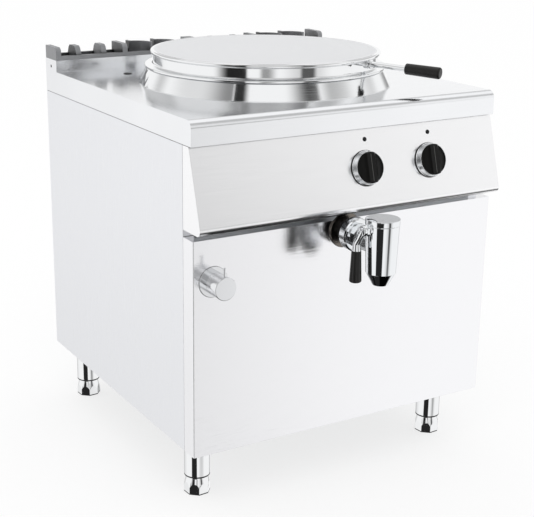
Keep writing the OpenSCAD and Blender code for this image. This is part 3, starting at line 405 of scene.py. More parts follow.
ground = ground_steel()
pan_outline = eased((0, PAN_FLOOR_Z - PAN_WALL), (PAN_R + PAN_WALL, PAN_FLOOR_Z - PAN_WALL, PAN_ROUND + PAN_WALL),
                    (PAN_R + PAN_WALL, RIM_Z, 0.8), (PAN_R, RIM_Z, 0.8), (PAN_R, PAN_FLOOR_Z, PAN_ROUND),
                    (0, PAN_FLOOR_Z), steps=8)
pan = turned("pan_drawn", pan_outline, ground, standing(*PAN), steps=180)
drill = turned("drill", [(0, DRILL_FROM), (DRAIN_R, DRILL_FROM), (DRAIN_R, DRILL_TO), (0, DRILL_TO)], ground,
               standing(DRAIN_X, DRILL_Y, DRAIN_Z) @ Matrix.Rotation(math.radians(90), 4, "X"), steps=64)
cut = pan.modifiers.new("drain hole", "BOOLEAN")
cut.object, cut.operation, cut.solver = drill, "DIFFERENCE", "EXACT"
evaluated(pan)
bpy.data.objects.remove(drill)
settle(smoothed(pan), "cabinet", "pan_steel", "pan")

# Steam jacket and drain pipes
# Welded from plain stainless sheet and tube; the blanket hides the jacket, so it keeps the mill's dull grey sheen.
# The drain pipe is painted dark grey, which stands in for the shade round it behind the tap's nut.


def mill_steel():
    """Stainless steel with its dull mill finish, which has a soft sheen and no grain."""
    material, tree = new_finish("mill_finish_stainless", Base_Color=linear("#b9bcbf"), Metallic=1.0, Roughness=0.42)
    vary(tree, surface_pattern(tree, 60.0), ("#b0b3b6", "#c6c9cb"), (0.36, 0.48))
    return material


def pickled_steel():
    """Dull stainless steel painted dark grey: painted shade for the dim space behind the tap's nut."""
    material, tree = new_finish("pipe_steel_painted_shade", Metallic=1.0, Roughness=0.4)
    vary(tree, surface_pattern(tree, 40.0), ("#4d4e50", "#626466"), (0.34, 0.46))
    return material


mill = mill_steel()
finish_node(mill, "steam_jacket", "level_pipe")
# Painted shade: the drain pipe's dark grey stands in for the shade behind the tap's nut.
finish_node(pickled_steel(), "drain_pipe")

# Insulation
# A yellow glass-wool blanket wound round the jacket, cut from the roll and tied.
# Loose fibres make it matt and uneven, lighter where they stand up.


def glass_wool():
    """Mineral wool blanket: matt fibre clumps about a centimetre across."""
    material, tree = new_finish("glass_wool", Roughness=0.95, Sheen_Weight=0.3)
    clumps = surface_pattern(tree, 9.0, detail=8.0)
    tufts = add(tree, "ShaderNodeMapRange", {"Value": clumps, "From Min": 0.3, "From Max": 0.7}).outputs["Result"]
    vary(tree, tufts, ("#b39b4e", "#d8c886"))
    vary(tree, clumps, depth_mm=3.0)
    return material


finish_node(glass_wool(), "insulation")

# Heating elements
# Three ring-shaped tubular elements in the jacket's water, bent from an alloy sheath that darkens in use.
# The oxide film is nearly black and half matt, with a bluish cast.


def oxidised_alloy():
    """Heat-darkened nickel alloy sheath."""
    material, tree = new_finish("oxidised_alloy_sheath", Metallic=0.8, Roughness=0.5)
    vary(tree, surface_pattern(tree, 14.0), ("#3a3838", "#565a60"))
    vary(tree, surface_pattern(tree, 1.5), depth_mm=0.03)
    return material


finish_node(oxidised_alloy(), "heating_elements")

# Safety valve
# Turned from brass bar and screwed into the jacket; it lets steam out above its set pressure.
# Bare brass that is warm and yellow, with the lathe's fine marks.


def turned_brass():
    """Bare turned brass, slightly tarnished in places."""
    material, tree = new_finish("turned_brass", Metallic=1.0, Roughness=0.28)
    vary(tree, surface_pattern(tree, 12.0), ("#b08a3c", "#d9b765"))
    vary(tree, surface_pattern(tree, 1.5, (1, 1, 8)), rough=(0.2, 0.36))
    return material


finish_node(turned_brass(), "safety_valve", "valve_plunger")

# Switches and contactor
# Moulded from black and grey thermoset, which stands the heat near the jacket.
# The surface is dull with a faint orange peel.


def thermoset():
    """Dark grey moulded thermoset."""
    material, tree = new_finish("thermoset_moulding", Base_Color=linear("#36373a"), Roughness=0.55, IOR=1.55)
    vary(tree, surface_pattern(tree, 1.5), depth_mm=0.04)
    vary(tree, surface_pattern(tree, 6.0), rough=(0.48, 0.62))
    return material


finish_node(thermoset(), "selector_switch", "energy_regulator", "contactor")

# Terminal block
# Five ways of cream melamine with sunk screws, where the supply cable ends.
# Melamine is hard, pale and slightly glossy.


def melamine():
    """Cream melamine moulding."""
    material, tree = new_finish("melamine", Roughness=0.38, IOR=1.6)
    vary(tree, surface_pattern(tree, 8.0), ("#e2d9bf", "#ece5d2"))
    return material


finish_node(melamine(), "terminal_block")

# Cable gland
# A black polyamide gland in the floor tray near the back, through which the supply cable is led.
# It has the same matt mould grain as the foot bushes.
settle(worked_copy("cable_gland", nylon, 0.8), "cabinet", "black_plastic", "cable_gland")

# Worktop
# Pressed from 1.5 mm stainless sheet with a round nose at the front, a skirt on three sides and an upstand at the back.
# It is polished finer than the casing, so it mirrors the collar softly; the grain runs from side to side.
WORKTOP_Z, WORKTOP_GRAIN_MM = 890.0, 1.6


def fine_brushed_steel():
    """Finely brushed stainless steel with a soft mirror image; the grain lines are drawn coarse enough to show."""
    material, tree = new_finish("fine_brushed_stainless", Base_Color=linear("#eff1f3"), Metallic=1.0, Roughness=0.16)
    vary(tree, surface_pattern(tree, WORKTOP_GRAIN_MM, (0.012, 1, 1)), rough=(0.13, 0.21), depth_mm=0.004)
    vary(tree, surface_pattern(tree, 180.0), ("#f1f2f4", "#f8f9fb"))
    return material


settle(worked_copy("worktop", fine_brushed_steel(), 0.5), "cabinet", "worktop_steel", "worktop")

# Worktop plug
# A black polyamide plug pressed into the spare hole in the worktop's rear left corner.
# Its edge is rounded and it stands a little proud.
PLUG, PLUG_R = (-250, 627), 10.5


def disc(inner, outer, low, high, ease):
    """The outline of a disc or ring whose outer edge is rounded at the high end."""
    return eased((inner, low), (outer, low), (outer, high, ease), (inner, high))


plug_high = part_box("worktop_plug")[1][2] * 1000
plug = turned("worktop_plug_moulded", disc(0, PLUG_R, WORKTOP_Z, plug_high, 1.2), nylon, standing(*PLUG), steps=48)
settle(plug, "cabinet", "black_plastic", "worktop_plug")

# Casing
# Folded from 1 mm satin stainless sheet: the grain runs up the side and rear panels and across the front and control
# panels. Protective film keeps them almost free of marks, so they show only a soft grain and a broad sheen.
PANEL_GRAIN_MM = 1.2
BEND_MM, JOINT_SHADE_MM = 2.4, 3.0
CORNER_X, FOLD_LENGTH, UPRIGHT = 0.398, 0.3, 1e-4  # metres
LEVEL_GRAIN, UPRIGHT_GRAIN = (0.012, 1, 1), (1, 1, 0.012)


def openness(tree, reach_mm, closed, free, only_local=False):
    """0 in a gap or recess and 1 on an open face, judged by what stands within reach_mm; it paints shade into a
    finish's colour.
    """
    sky_seen = add(tree, "ShaderNodeAmbientOcclusion", {"Distance": reach_mm / 1000}, samples=8, only_local=only_local)
    span = {"Value": sky_seen.outputs["AO"], "From Min": closed, "From Max": free}
    return add(tree, "ShaderNodeMapRange", span).outputs["Result"]


def satin_steel(name, code, grain, rough, depth_mm):
    """Satin brushed stainless steel whose grain smears what it mirrors; its colour goes near black within a few
    millimetres of other surfaces, as painted shade at joints and round fittings.
    """
    material, tree = new_finish(name, Metallic=1.0, Roughness=rough[0])
    # Painted shade: the colour falls to near black where another surface stands within JOINT_SHADE_MM.
    vary(tree, openness(tree, JOINT_SHADE_MM, 0.5, 0.85), ("#202022", code))
    vary(tree, surface_pattern(tree, PANEL_GRAIN_MM, grain), rough=rough, depth_mm=depth_mm)
    return material


def upright_fold(start, end):
    """Picks the long upright folds at the casing's outer corners."""
    upright = (start.xy - end.xy).length < UPRIGHT
    return upright and abs(start.z - end.z) > FOLD_LENGTH and abs(start.x) > CORNER_X


side_steel = satin_steel("satin_stainless_upright_grain", "#f2f3f6", UPRIGHT_GRAIN, (0.27, 0.36), 0.003)
front_steel = satin_steel("satin_stainless_level_grain", "#f8f8fa", LEVEL_GRAIN, (0.1, 0.15), 0.13)
fascia_steel = satin_steel("satin_stainless_fascia", "#fdfdfe", LEVEL_GRAIN, (0.2, 0.26), 0.025)
# The recess strip takes the darker mill finish, which paints shade into the back of the recess.
for panel, steel in (("side_panel_left", side_steel), ("side_panel_right", side_steel), ("rear_panel", side_steel),
                     ("front_panel", front_steel), ("control_panel", fascia_steel), ("recess_strip", mill)):
    settle(worked_copy(panel, steel, 0.5, upright_fold, BEND_MM), "cabinet", "panel_steel", panel)

# Recess shade strip
# A thin black strip along the foot of the recess: painted shade for the dark line at the back of the recess.
# It is matt and slightly uneven.
SEAL_HALF_L, SEAL_Y, SEAL_T, SEAL_LOW_Z, SEAL_TOP_Z = 372.0, 35.0, 3.4, 637.3, 641.6


def black_rubber():
    """Matt black, as painted shade at the back of the recess."""
    material, tree = new_finish("black_strip_painted_shade", Roughness=0.7, IOR=1.5)
    vary(tree, surface_pattern(tree, 15.0), ("#161617", "#1e1e20"))
    vary(tree, surface_pattern(tree, 1.5), depth_mm=0.03)
    return material


def pulled(name, corners, pull, finish):
    """A solid pulled along a vector from a flat outline, all in metres."""
    shape = bmesh.new()
    end = shape.faces.new([shape.verts.new(corner) for corner in corners])
    moved = bmesh.ops.extrude_face_region(shape, geom=[end])["geom"]
    bmesh.ops.translate(shape, verts=[part for part in moved if isinstance(part, bmesh.types.BMVert)], vec=pull)
    bmesh.ops.recalc_face_normals(shape, faces=shape.faces)
    mesh = bpy.data.meshes.new(name)
    shape.to_mesh(mesh)
    shape.free()
    mesh.materials.append(finish)
    return as_object(name, mesh)


seal_end = eased((SEAL_Y, SEAL_LOW_Z, 0.5), (SEAL_Y + SEAL_T, SEAL_LOW_Z, 0.5), (SEAL_Y + SEAL_T, SEAL_TOP_Z, 1.2),
                 (SEAL_Y, SEAL_TOP_Z, 1.2))
seal_corners = [place(-SEAL_HALF_L, y, z) for y, z in seal_end]
# Painted shade: this black strip stands where the back of the recess lies in shade.
seal = pulled("recess_shade_strip", seal_corners, (2 * SEAL_HALF_L / 1000, 0, 0), black_rubber())
settle(smoothed(seal), "cabinet", "black_plastic")

# Collar
# Spun from stainless sheet and mirror polished, it widens from the pan's rim down to the worktop, where a fine
# bright bead of weld joins the two.
COLLAR_R, NECK_R, SHEET = 305.0, 288.0, 1.5
COLLAR_FOOT_LEAN, COLLAR_TOP_LEAN, COLLAR_ROUND = 26.0, 22.5, 4.0
WELD_OUT, WELD_UP, WELD_HALF_W, WELD_HALF_H, WELD_POINTS = 0.4, 0.2, 1.3, 1.1, 10
POLISH_RING_MM, POLISH_DEPTH_MM = 1.2, 0.055


def arc(x, z, r, start, end, steps):
    """Points on an arc of an outline, from start to end in degrees."""
    angles = [math.radians(start + (end - start) * i / steps) for i in range(steps + 1)]
    return [(x + r * math.cos(angle), z + r * math.sin(angle)) for angle in angles]


def flared(foot, top, foot_lean, top_lean, steps=12):
    """Points on a smooth flare between two ends that lean inwards by these angles."""
    foot, top = Vector(foot), Vector(top)
    up = Vector((-math.sin(math.radians(foot_lean)), math.cos(math.radians(foot_lean))))
    down = Vector((math.sin(math.radians(top_lean)), -math.cos(math.radians(top_lean))))
    gap = top - foot
    reach = (gap.x * down.y - gap.y * down.x) / (up.x * down.y - up.y * down.x)
    bend = foot + up * reach
    return [tuple(foot.lerp(bend, t).lerp(bend.lerp(top, t), t)) for t in (i / steps for i in range(steps + 1))]


def ring_ground_steel():
    """Stainless steel polished in fine level rings, which smear what it mirrors up and down."""
    material, tree = new_finish("ring_polished_stainless", Base_Color=linear("#f1f2f3"), Metallic=1.0, Roughness=0.07)
    vary(tree, surface_pattern(tree, POLISH_RING_MM, (0.01, 0.01, 1)), rough=(0.05, 0.1), depth_mm=POLISH_DEPTH_MM)
    return material


rounding = arc(NECK_R - COLLAR_ROUND, RIM_Z - COLLAR_ROUND, COLLAR_ROUND, COLLAR_TOP_LEAN, 90, 6)
flare = flared((COLLAR_R, WORKTOP_Z), rounding[0], COLLAR_FOOT_LEAN, COLLAR_TOP_LEAN)[:-1]
outside = flare + rounding + [(PAN_R + PAN_WALL, RIM_Z)]
inside = [(r - SHEET if r > PAN_R + PAN_WALL + 1 else r, z if z < WORKTOP_Z + 1 else z - SHEET) for r, z in outside]
collar = turned("collar_spun", outside + inside[::-1], ring_ground_steel(), standing(*PAN), steps=256)
settle(collar, "cabinet", "polished_steel", "pan_collar")
bead_angles = [2 * math.pi * i / WELD_POINTS for i in range(WELD_POINTS)]
bead_outline = [(COLLAR_R + WELD_OUT + WELD_HALF_W * math.cos(a), WORKTOP_Z + WELD_UP + WELD_HALF_H * math.sin(a))
                for a in bead_angles]
settle(turned("collar_weld_bead", bead_outline, mirror_steel, standing(*PAN), steps=256), "cabinet", "polished_steel")

# Hinge bracket and pin
# Two ears of polished stainless plate, welded to the collar at the back, hold the lid's pin between them.
# Their edges are ground round.
for node in ("hinge_bracket", "hinge_pin"):
    settle(worked_copy(node, mirror_steel, 0.8), "cabinet", "polished_steel", node)

# Lid
# Spun from stainless sheet: a flat satin top with fine circular scratches, a bright rolled bead round it, a mirror
# polished skirt and a turned-out lip that rests over the collar.
LID_TOP_Z, LID_R, SKIRT_R, LIP_R, LIP_Z, LIP_T = 968.0, 277.5, 271.0, 291.0, 931.0, 2.5
BEAD_R, LIP_BEND_R, LIP_LOW_Z = 5.0, 5.0, 928.8
BEAD_GROOVE = ((4.6, 0.0), (4.1, 0.5), (3.4, 0.55), (2.2, 0.3))  # inwards from the bead's middle, down from the top
SPUN_RING_MM = 3.0


def spun_satin_steel():
    """The lid's satin top: pale, with circular lines that are drawn wider than the real scratches."""
    material, tree = new_finish("spun_satin_stainless", Base_Color=linear("#f7f8fa"), Metallic=1.0, Roughness=0.33)
    vary(tree, ring_pattern(tree, SPUN_RING_MM), rough=(0.29, 0.38), depth_mm=0.003)
    return material


bead_x, bead_z, lip_edge = LID_R - BEAD_R, LID_TOP_Z - BEAD_R, LIP_T / 2
bead_out = math.degrees(math.acos((bead_x - SKIRT_R) / BEAD_R)) - 180
lid_outline = ([(0, LID_TOP_Z)] + [(bead_x - inwards, LID_TOP_Z - down) for inwards, down in BEAD_GROOVE]
               + arc(bead_x, bead_z, BEAD_R, 105, bead_out, 18)
               + arc(SKIRT_R + LIP_BEND_R, LIP_Z + LIP_T + LIP_BEND_R, LIP_BEND_R, 180, 270, 8)
               + arc(LIP_R - lip_edge, LIP_Z + lip_edge, lip_edge, 90, 0, 5)
               + arc(LIP_R - lip_edge, LIP_LOW_Z + lip_edge, lip_edge, 0, -180, 8)
               + [(LIP_R - LIP_T, LIP_Z), (SKIRT_R - SHEET, LIP_Z), (SKIRT_R - SHEET, LID_TOP_Z - 2.5),
                  (SKIRT_R - SHEET - 1, LID_TOP_Z - SHEET), (0, LID_TOP_Z - SHEET)])
lid = turned("lid_spun", lid_outline, mirror_steel, standing(*PAN), steps=256)
lid.data.materials.append(spun_satin_steel())
satin_r = (bead_x - BEAD_GROOVE[0][0] - 0.1) / 1000
for face in lid.data.polygons:
    if abs(face.normal.z) > 0.9 and (face.center.xy - place(*PAN, 0).xy).length < satin_r:
        face.material_index = 1
settle(lid, "lid", "lid_steel", "lid")

# Lid gasket
# A ring of grey silicone rubber under the lid that seals it on the pan's rim.
# Silicone is soft, half matt and a little translucent at its edge.
GASKET_R, GASKET_OUT_R, GASKET_LOW_Z = 268.5, 276.5, RIM_Z + 0.3


def silicone_rubber():
    """Pale grey silicone, half matt, with slight dust."""
    material, tree = new_finish("silicone_rubber", Roughness=0.55, IOR=1.41)
    vary(tree, surface_pattern(tree, 20.0), ("#b7bab9", "#c6c8c6"))
    vary(tree, surface_pattern(tree, 2.0), depth_mm=0.03)
    return material


gasket_outline = eased((GASKET_R, GASKET_LOW_Z, 0.8), (GASKET_OUT_R, GASKET_LOW_Z, 0.8), (GASKET_OUT_R, LIP_Z),
                       (GASKET_R, LIP_Z))
gasket = turned("lid_gasket_moulded", gasket_outline, silicone_rubber(), standing(*PAN), steps=180)
settle(gasket, "lid", "gasket", "lid_gasket")

# Lid handle
# A polished stainless rod welded square to the lid's skirt, falling a little outwards, with a black phenolic grip
# pressed on its end. Phenolic is hard and glossy black with a slight moulding haze.
HANDLE_TURN, ROD_ROOT_Z, ROD_FALL, GRIP_START, GRIP_END = -60.0, 952.3, 8.3, 95.0, 179.0
ROD_R, ROD_FOOT_R, ROD_FOOT_L, GRIP_R, GRIP_END_R = 6.5, 11.0, 10.0, 12.5, 13.5
ROD_IN_GRIP, GRIP_BORE_L = 55.0, 58.0
ROD_WELD_R, ROD_WELD_DEEP = ROD_FOOT_R + 1.4, 0.9


def moulded_phenolic():
    """Black phenolic: glossy but not mirror-like, with a slightly brownish black."""
    material, tree = new_finish("moulded_phenolic", Base_Color=linear("#151413"), Roughness=0.32, IOR=1.6,
                                Specular_IOR_Level=0.3)
    vary(tree, surface_pattern(tree, 5.0), rough=(0.27, 0.4))
    vary(tree, surface_pattern(tree, 1.0), depth_mm=0.01)
    return material


phenolic = moulded_phenolic()
handle_place = (standing(*PAN) @ Matrix.Rotation(math.radians(HANDLE_TURN), 4, "Z")
                @ Matrix.Translation(Vector((SKIRT_R, 0, ROD_ROOT_Z)) / 1000)
                @ Matrix.Rotation(math.radians(90) + math.atan(ROD_FALL / GRIP_END), 4, "Y"))
rod_outline = eased((0, -ROD_WELD_DEEP), (ROD_WELD_R, -ROD_WELD_DEEP), (ROD_FOOT_R + 1.2, 0.6, 0.8),
                    (ROD_FOOT_R, 1.6, 0.8), (ROD_FOOT_R, ROD_FOOT_L, 1.5), (ROD_R, ROD_FOOT_L, 1.0),
                    (ROD_R, GRIP_START + ROD_IN_GRIP), (0, GRIP_START + ROD_IN_GRIP))
rod = turned("lid_handle_rod_polished", rod_outline, mirror_steel, handle_place, steps=64)
settle(rod, "lid", "polished_steel", "lid_handle_rod")
grip_outline = eased((ROD_R, GRIP_START), (GRIP_R, GRIP_START, 2.0), (GRIP_END_R, GRIP_END, 4.5), (0, GRIP_END),
                     (0, GRIP_START + GRIP_BORE_L), (ROD_R, GRIP_START + GRIP_BORE_L), steps=6)
settle(turned("lid_grip_phenolic", grip_outline, phenolic, handle_place), "lid", "black_grip", "lid_grip")
settle(worked_copy("lid_hinge_arm", mirror_steel, 0.8), "lid", "polished_steel", "lid_hinge_arm")

# Draw-off tap
# Cast brass, ground and chrome plated: a ring nut on the drain pipe, an eight-sided neck and an upright spout with a
# screwed cap and a tapered mouth. Chrome is a sharp, slightly blue mirror; the rosette behind the nut is given a
# darker, browner and duller plating, which paints in the shade and dark reflection behind the nut.
TAP_X, TAP_Z, SPOUT_OUT, SPINDLE_Z = -18.0, 612.0, 145.0, 651.0
FRONT_OUT, ROSETTE_R, ROSETTE_BORE_R, ROSETTE_T = 6.0, 40.0, 23.0, 4.0
NUT_R, NUT_FROM, NUT_TO, NUT_CHAMFER = 38.0, 36.0, 60.0, 3.0
NUT_BORE_R, NUT_SEAT_R, NUT_SEAT = 27.3, 32.9, 52.0
SPOUT_TOP_Z, SPOUT_RIM_Z, SPOUT_R, SPOUT_LOW_R, SPOUT_LOW_Z = 672.0, 660.0, 37.0, 33.0, 553.0
MOUTH_Z, MOUTH_R, MOUTH_BORE_R, SPOUT_BORE_R = 525.0, 17.5, 13.5, 27.0
GUIDE_R, GUIDE_LOW_Z, GUIDE_TOP_Z = 20.0, 572.0, 578.0
CAP_R, CAP_SEAT_R, CAP_UNDER_Z = 37.5, 31.0, 668.0
BOSS_R, BOSS_BORE_R, BOSS_FROM, BOSS_TO = 13.5, 8.0, 30.0, 40.0


def facing_front(x, z):
    """A turned piece's axis pointing out of the front, from the plane of the worktop's front edge."""
    return standing(x, 0, z) @ Matrix.Rotation(math.radians(90), 4, "X")


def facing_left(x, y, z):
    """A turned piece's axis pointing to the left."""
    return standing(x, y, z) @ Matrix.Rotation(math.radians(-90), 4, "Y")


def plating(name, code, low, high):
    """A metal plated on ground brass: a clean mirror, with its gloss varying by this much."""
    material, tree = new_finish(name, Base_Color=linear(code), Metallic=1.0, Roughness=low)
    vary(tree, surface_pattern(tree, 16.0), rough=(low, high))
    return material


chrome = plating("chrome_plated_brass", "#eff1f3", 0.02, 0.05)
# Painted shade: the rosette's dark brownish plating stands in for the shade and dark reflection behind the nut.
dull_nickel = plating("rosette_plating_painted_shade", "#77716b", 0.14, 0.2)
on_tap, on_spindle = facing_front(TAP_X, TAP_Z), facing_left(TAP_X, -SPOUT_OUT, SPINDLE_Z)
spout_place = standing(TAP_X, -SPOUT_OUT)
rosette_outline = disc(ROSETTE_BORE_R, ROSETTE_R, FRONT_OUT, FRONT_OUT + ROSETTE_T, 0.8)
settle(turned("tap_rosette_plated", rosette_outline, dull_nickel, on_tap), "cabinet", "tap_chrome", "tap_rosette")
nut_outline = eased((NUT_BORE_R, NUT_TO), (NUT_BORE_R, NUT_SEAT), (NUT_SEAT_R, NUT_SEAT), (NUT_SEAT_R, NUT_FROM),
                    (NUT_R - NUT_CHAMFER, NUT_FROM, 0.8), (NUT_R, NUT_FROM + NUT_CHAMFER, 1.2),
                    (NUT_R, NUT_TO - NUT_CHAMFER, 1.2), (NUT_R - NUT_CHAMFER, NUT_TO, 0.8))
settle(turned("union_nut_chromed", nut_outline, chrome, on_tap), "cabinet", "tap_chrome", "union_nut")
settle(worked_copy("tap_neck", chrome, 0.8), "cabinet", "tap_chrome", "tap_neck")
spout_outline = eased((MOUTH_R, MOUTH_Z, 0.8), (SPOUT_LOW_R, SPOUT_LOW_Z, 1.2), (SPOUT_R, SPOUT_RIM_Z - 1.6, 0.6),
                      (SPOUT_R - 0.9, SPOUT_RIM_Z - 0.8), (SPOUT_R - 0.9, SPOUT_RIM_Z), (CAP_SEAT_R, SPOUT_RIM_Z),
                      (CAP_SEAT_R, GUIDE_TOP_Z), (GUIDE_R, GUIDE_TOP_Z), (GUIDE_R, GUIDE_LOW_Z),
                      (SPOUT_BORE_R, GUIDE_LOW_Z), (SPOUT_BORE_R, SPOUT_LOW_Z), (MOUTH_BORE_R, MOUTH_Z + 4),
                      (MOUTH_BORE_R, MOUTH_Z, 0.6))
spout_body = turned("spout_body", spout_outline, chrome, spout_place, steps=160)
boss = turned("spindle_boss", disc(BOSS_BORE_R, BOSS_R, BOSS_FROM, BOSS_TO, 1.2), chrome, on_spindle)
settle(joined("spout_chromed", spout_body, boss), "cabinet", "tap_chrome", "spout")
cap_outline = eased((0, SPOUT_TOP_Z), (CAP_R, SPOUT_TOP_Z, 1.6), (CAP_R, SPOUT_RIM_Z, 0.6), (CAP_SEAT_R, SPOUT_RIM_Z),
                    (CAP_SEAT_R, CAP_UNDER_Z), (0, CAP_UNDER_Z))
cap = turned("spout_cap_chromed", cap_outline, chrome, spout_place, steps=160)
settle(cap, "cabinet", "tap_chrome", "spout_cap")
settle(worked_copy("spindle_gland", chrome, 0.5), "cabinet", "tap_chrome", "spindle_gland")

# Tap lever
# A chromed lever clamped on the tap's spindle, sweeping down to a ferrule that holds a tapered phenolic grip.
# A quarter turn forwards lifts the plunger inside the spout.
LEVER_END = (-76.3, -134.0, 621.0)
HUB_BACK, HUB_FRONT, HUB_R, HUB_BORE_R = 46.3, 54.3, 12.0, 5.0
ARM_IN_HUB, ARM_ROOT, ARM_BALL_R = 4.0, [(0, -3.9), (6.5, 1.5), (7.9, 8.0), (7.4, 20.0)], 8.0
FERRULE_H, FERRULE_R, TAP_GRIP_L, TAP_GRIP_R, TAP_GRIP_END_R = 15.0, 10.2, 70.0, 10.5, 13.5
finish_node(chrome, "tap_spindle")
lever_top, lever_end = place(TAP_X - HUB_FRONT + ARM_IN_HUB, -SPOUT_OUT, SPINDLE_Z), place(*LEVER_END)
arm_l = (lever_end - lever_top).length * 1000
arm_place = Matrix.Translation(lever_top) @ (lever_end - lever_top).to_track_quat("Z", "Y").to_matrix().to_4x4()
hub_outline = eased((HUB_BORE_R, HUB_BACK), (HUB_R, HUB_BACK, 1.5), (HUB_R, HUB_FRONT, 2.5), (0, HUB_FRONT + 1.5),
                    (0, HUB_FRONT - 2), (HUB_BORE_R, HUB_FRONT - 2))
arm_outline = ARM_ROOT + arc(0, arm_l, ARM_BALL_R, -12, 90, 10)[:-1] + [(0, arm_l + ARM_BALL_R)]
ferrule_outline = eased((0, 0.0), (ARM_BALL_R, 0, 1.0), (FERRULE_R, -FERRULE_H + 1.0, 0.6),
                        (FERRULE_R, -FERRULE_H, 0.4), (0, -FERRULE_H))
hub = turned("lever_hub", hub_outline, chrome, on_spindle)
arm = turned("lever_arm", arm_outline, chrome, arm_place, steps=64)
ferrule = turned("lever_ferrule", ferrule_outline, chrome, standing(*LEVER_END), steps=64)
settle(joined("tap_lever_chromed", hub, arm, ferrule), "tap_handle", "tap_chrome", "tap_lever")
tap_grip_outline = eased((0, -FERRULE_H - 0.1), (TAP_GRIP_R, -FERRULE_H - 0.1, 1.0),
                         (TAP_GRIP_END_R, -FERRULE_H - TAP_GRIP_L, 4.0), (0, -FERRULE_H - TAP_GRIP_L), steps=6)
tap_grip = turned("tap_grip_phenolic", tap_grip_outline, phenolic, standing(*LEVER_END), steps=64)
settle(tap_grip, "tap_handle", "black_grip", "tap_grip")

# Level valve
# A small chromed brass valve on the front that shows when the jacket's water is low: a thin rosette, a round body
# and a round knob with a pin through it as a handle. Its plating is duller than the tap's.
LEVEL_X, LEVEL_Z, LEVEL_R, LEVEL_SHANK_R, LEVEL_BORE_R = -352.0, 543.0, 25.4, 10.0, 5.0
LEVEL_PLATE_R, LEVEL_PLATE_TO, LEVEL_BODY_TO, LEVEL_KNOB_FROM, LEVEL_KNOB_TO = 34.0, 8.0, 32.0, 32.3, 62.0
LEVEL_PIN_OUT, LEVEL_PIN_R, LEVEL_PIN_FROM, LEVEL_PIN_TO = 55.6, 2.7, 12.0, 45.0
satin_chrome = plating("satin_chrome_plating", "#e9eaec", 0.06, 0.1)
on_level = facing_front(LEVEL_X, LEVEL_Z)
plate_outline = disc(LEVEL_SHANK_R, LEVEL_PLATE_R, FRONT_OUT, LEVEL_PLATE_TO, 0.8)
plate = turned("level_rosette_chromed", plate_outline, satin_chrome, on_level)
settle(plate, "cabinet", "level_chrome", "level_rosette")
body_outline = disc(LEVEL_BORE_R, LEVEL_R, LEVEL_PLATE_TO, LEVEL_BODY_TO, 0.5)
settle(turned("level_body_chromed", body_outline, satin_chrome, on_level), "cabinet", "level_chrome", "level_body")
knob_outline = eased((0, LEVEL_KNOB_FROM), (LEVEL_R, LEVEL_KNOB_FROM, 0.5), (LEVEL_R, LEVEL_KNOB_TO, 1.4),
                     (0, LEVEL_KNOB_TO))
knob = turned("level_knob_turned", knob_outline, satin_chrome, on_level)
pin_outline = disc(0, LEVEL_PIN_R, LEVEL_PIN_FROM, LEVEL_PIN_TO, 1.2)
pin = turned("level_pin", pin_outline, satin_chrome, standing(LEVEL_X, -LEVEL_PIN_OUT, LEVEL_Z), steps=32)
settle(joined("level_knob_chromed", knob, pin), "level_handle", "level_chrome", "level_knob")

# Knobs and bezels
# Each knob is a black thermoset disc with a scooped bar for the fingers and a thin pale pointer line, which also paints
# in the highlight along the bar, turning in a chromed ring on the sloping control panel; the ring's foot is black as
# painted shade.
FASCIA_TILT, FASCIA_TOP, KNOB_DROP = 16.4, (10.0, 831.0), 86.0
KNOBS = {"knob_left": 28.6, "knob_right": 204.0}
KNOB_H, SHAFT_HOLE_R = 24.4, 9.0
BEZEL_FOOT_R, BEZEL_FOOT_H, BEZEL_PLATE_T, BEZEL_H, BEZEL_BORE_R = 39.6, 3.4, 3.0, 17.0, 34.9
POINTER_HALF_L, POINTER_HALF_W, POINTER_DEEP, POINTER_T = 30.0, 0.55, 0.4, 0.45


def on_fascia(x, drop):
    """A turned piece's axis square to the sloping panel, this far below its top edge."""
    tilt, (top_y, top_z) = math.radians(FASCIA_TILT), FASCIA_TOP
    spot = standing(x, top_y - drop * math.sin(tilt), top_z - drop * math.cos(tilt))
    return spot @ Matrix.Rotation(math.radians(90) - tilt, 4, "X")


def painted_line():
    """Pale grey paint in the knob's pointer groove, run nearly the bar's whole length so that it also paints in the
    highlight along the bar.
    """
    material, tree = new_finish("pointer_paint_and_highlight", Roughness=0.5)
    vary(tree, surface_pattern(tree, 2.0), ("#565654", "#6c6c69"))
    return material


def black_thermoset():
    """Black thermoset of the knobs: smooth and half glossy, with a fine orange peel."""
    material, tree = new_finish("knob_thermoset", Base_Color=linear("#0f0f0e"), Roughness=0.34, IOR=1.55,
                                Specular_IOR_Level=0.16)
    vary(tree, surface_pattern(tree, 2.5), rough=(0.28, 0.42))
    vary(tree, surface_pattern(tree, 0.9), depth_mm=0.012)
    return material


bezel_outline = eased((SHAFT_HOLE_R, 0), (BEZEL_FOOT_R, 0), (BEZEL_FOOT_R, BEZEL_PLATE_T, 1.0), (37.6, 4.2, 1.0),
                      (36.2, BEZEL_H, 0.8), (BEZEL_BORE_R, BEZEL_H, 0.4), (BEZEL_BORE_R, BEZEL_PLATE_T),
                      (SHAFT_HOLE_R, BEZEL_PLATE_T))
rings = [turned("bezel_" + name, bezel_outline, chrome, on_fascia(x, KNOB_DROP), steps=128)
         for name, x in KNOBS.items()]
bezels = joined("knob_bezels_chromed", *rings)
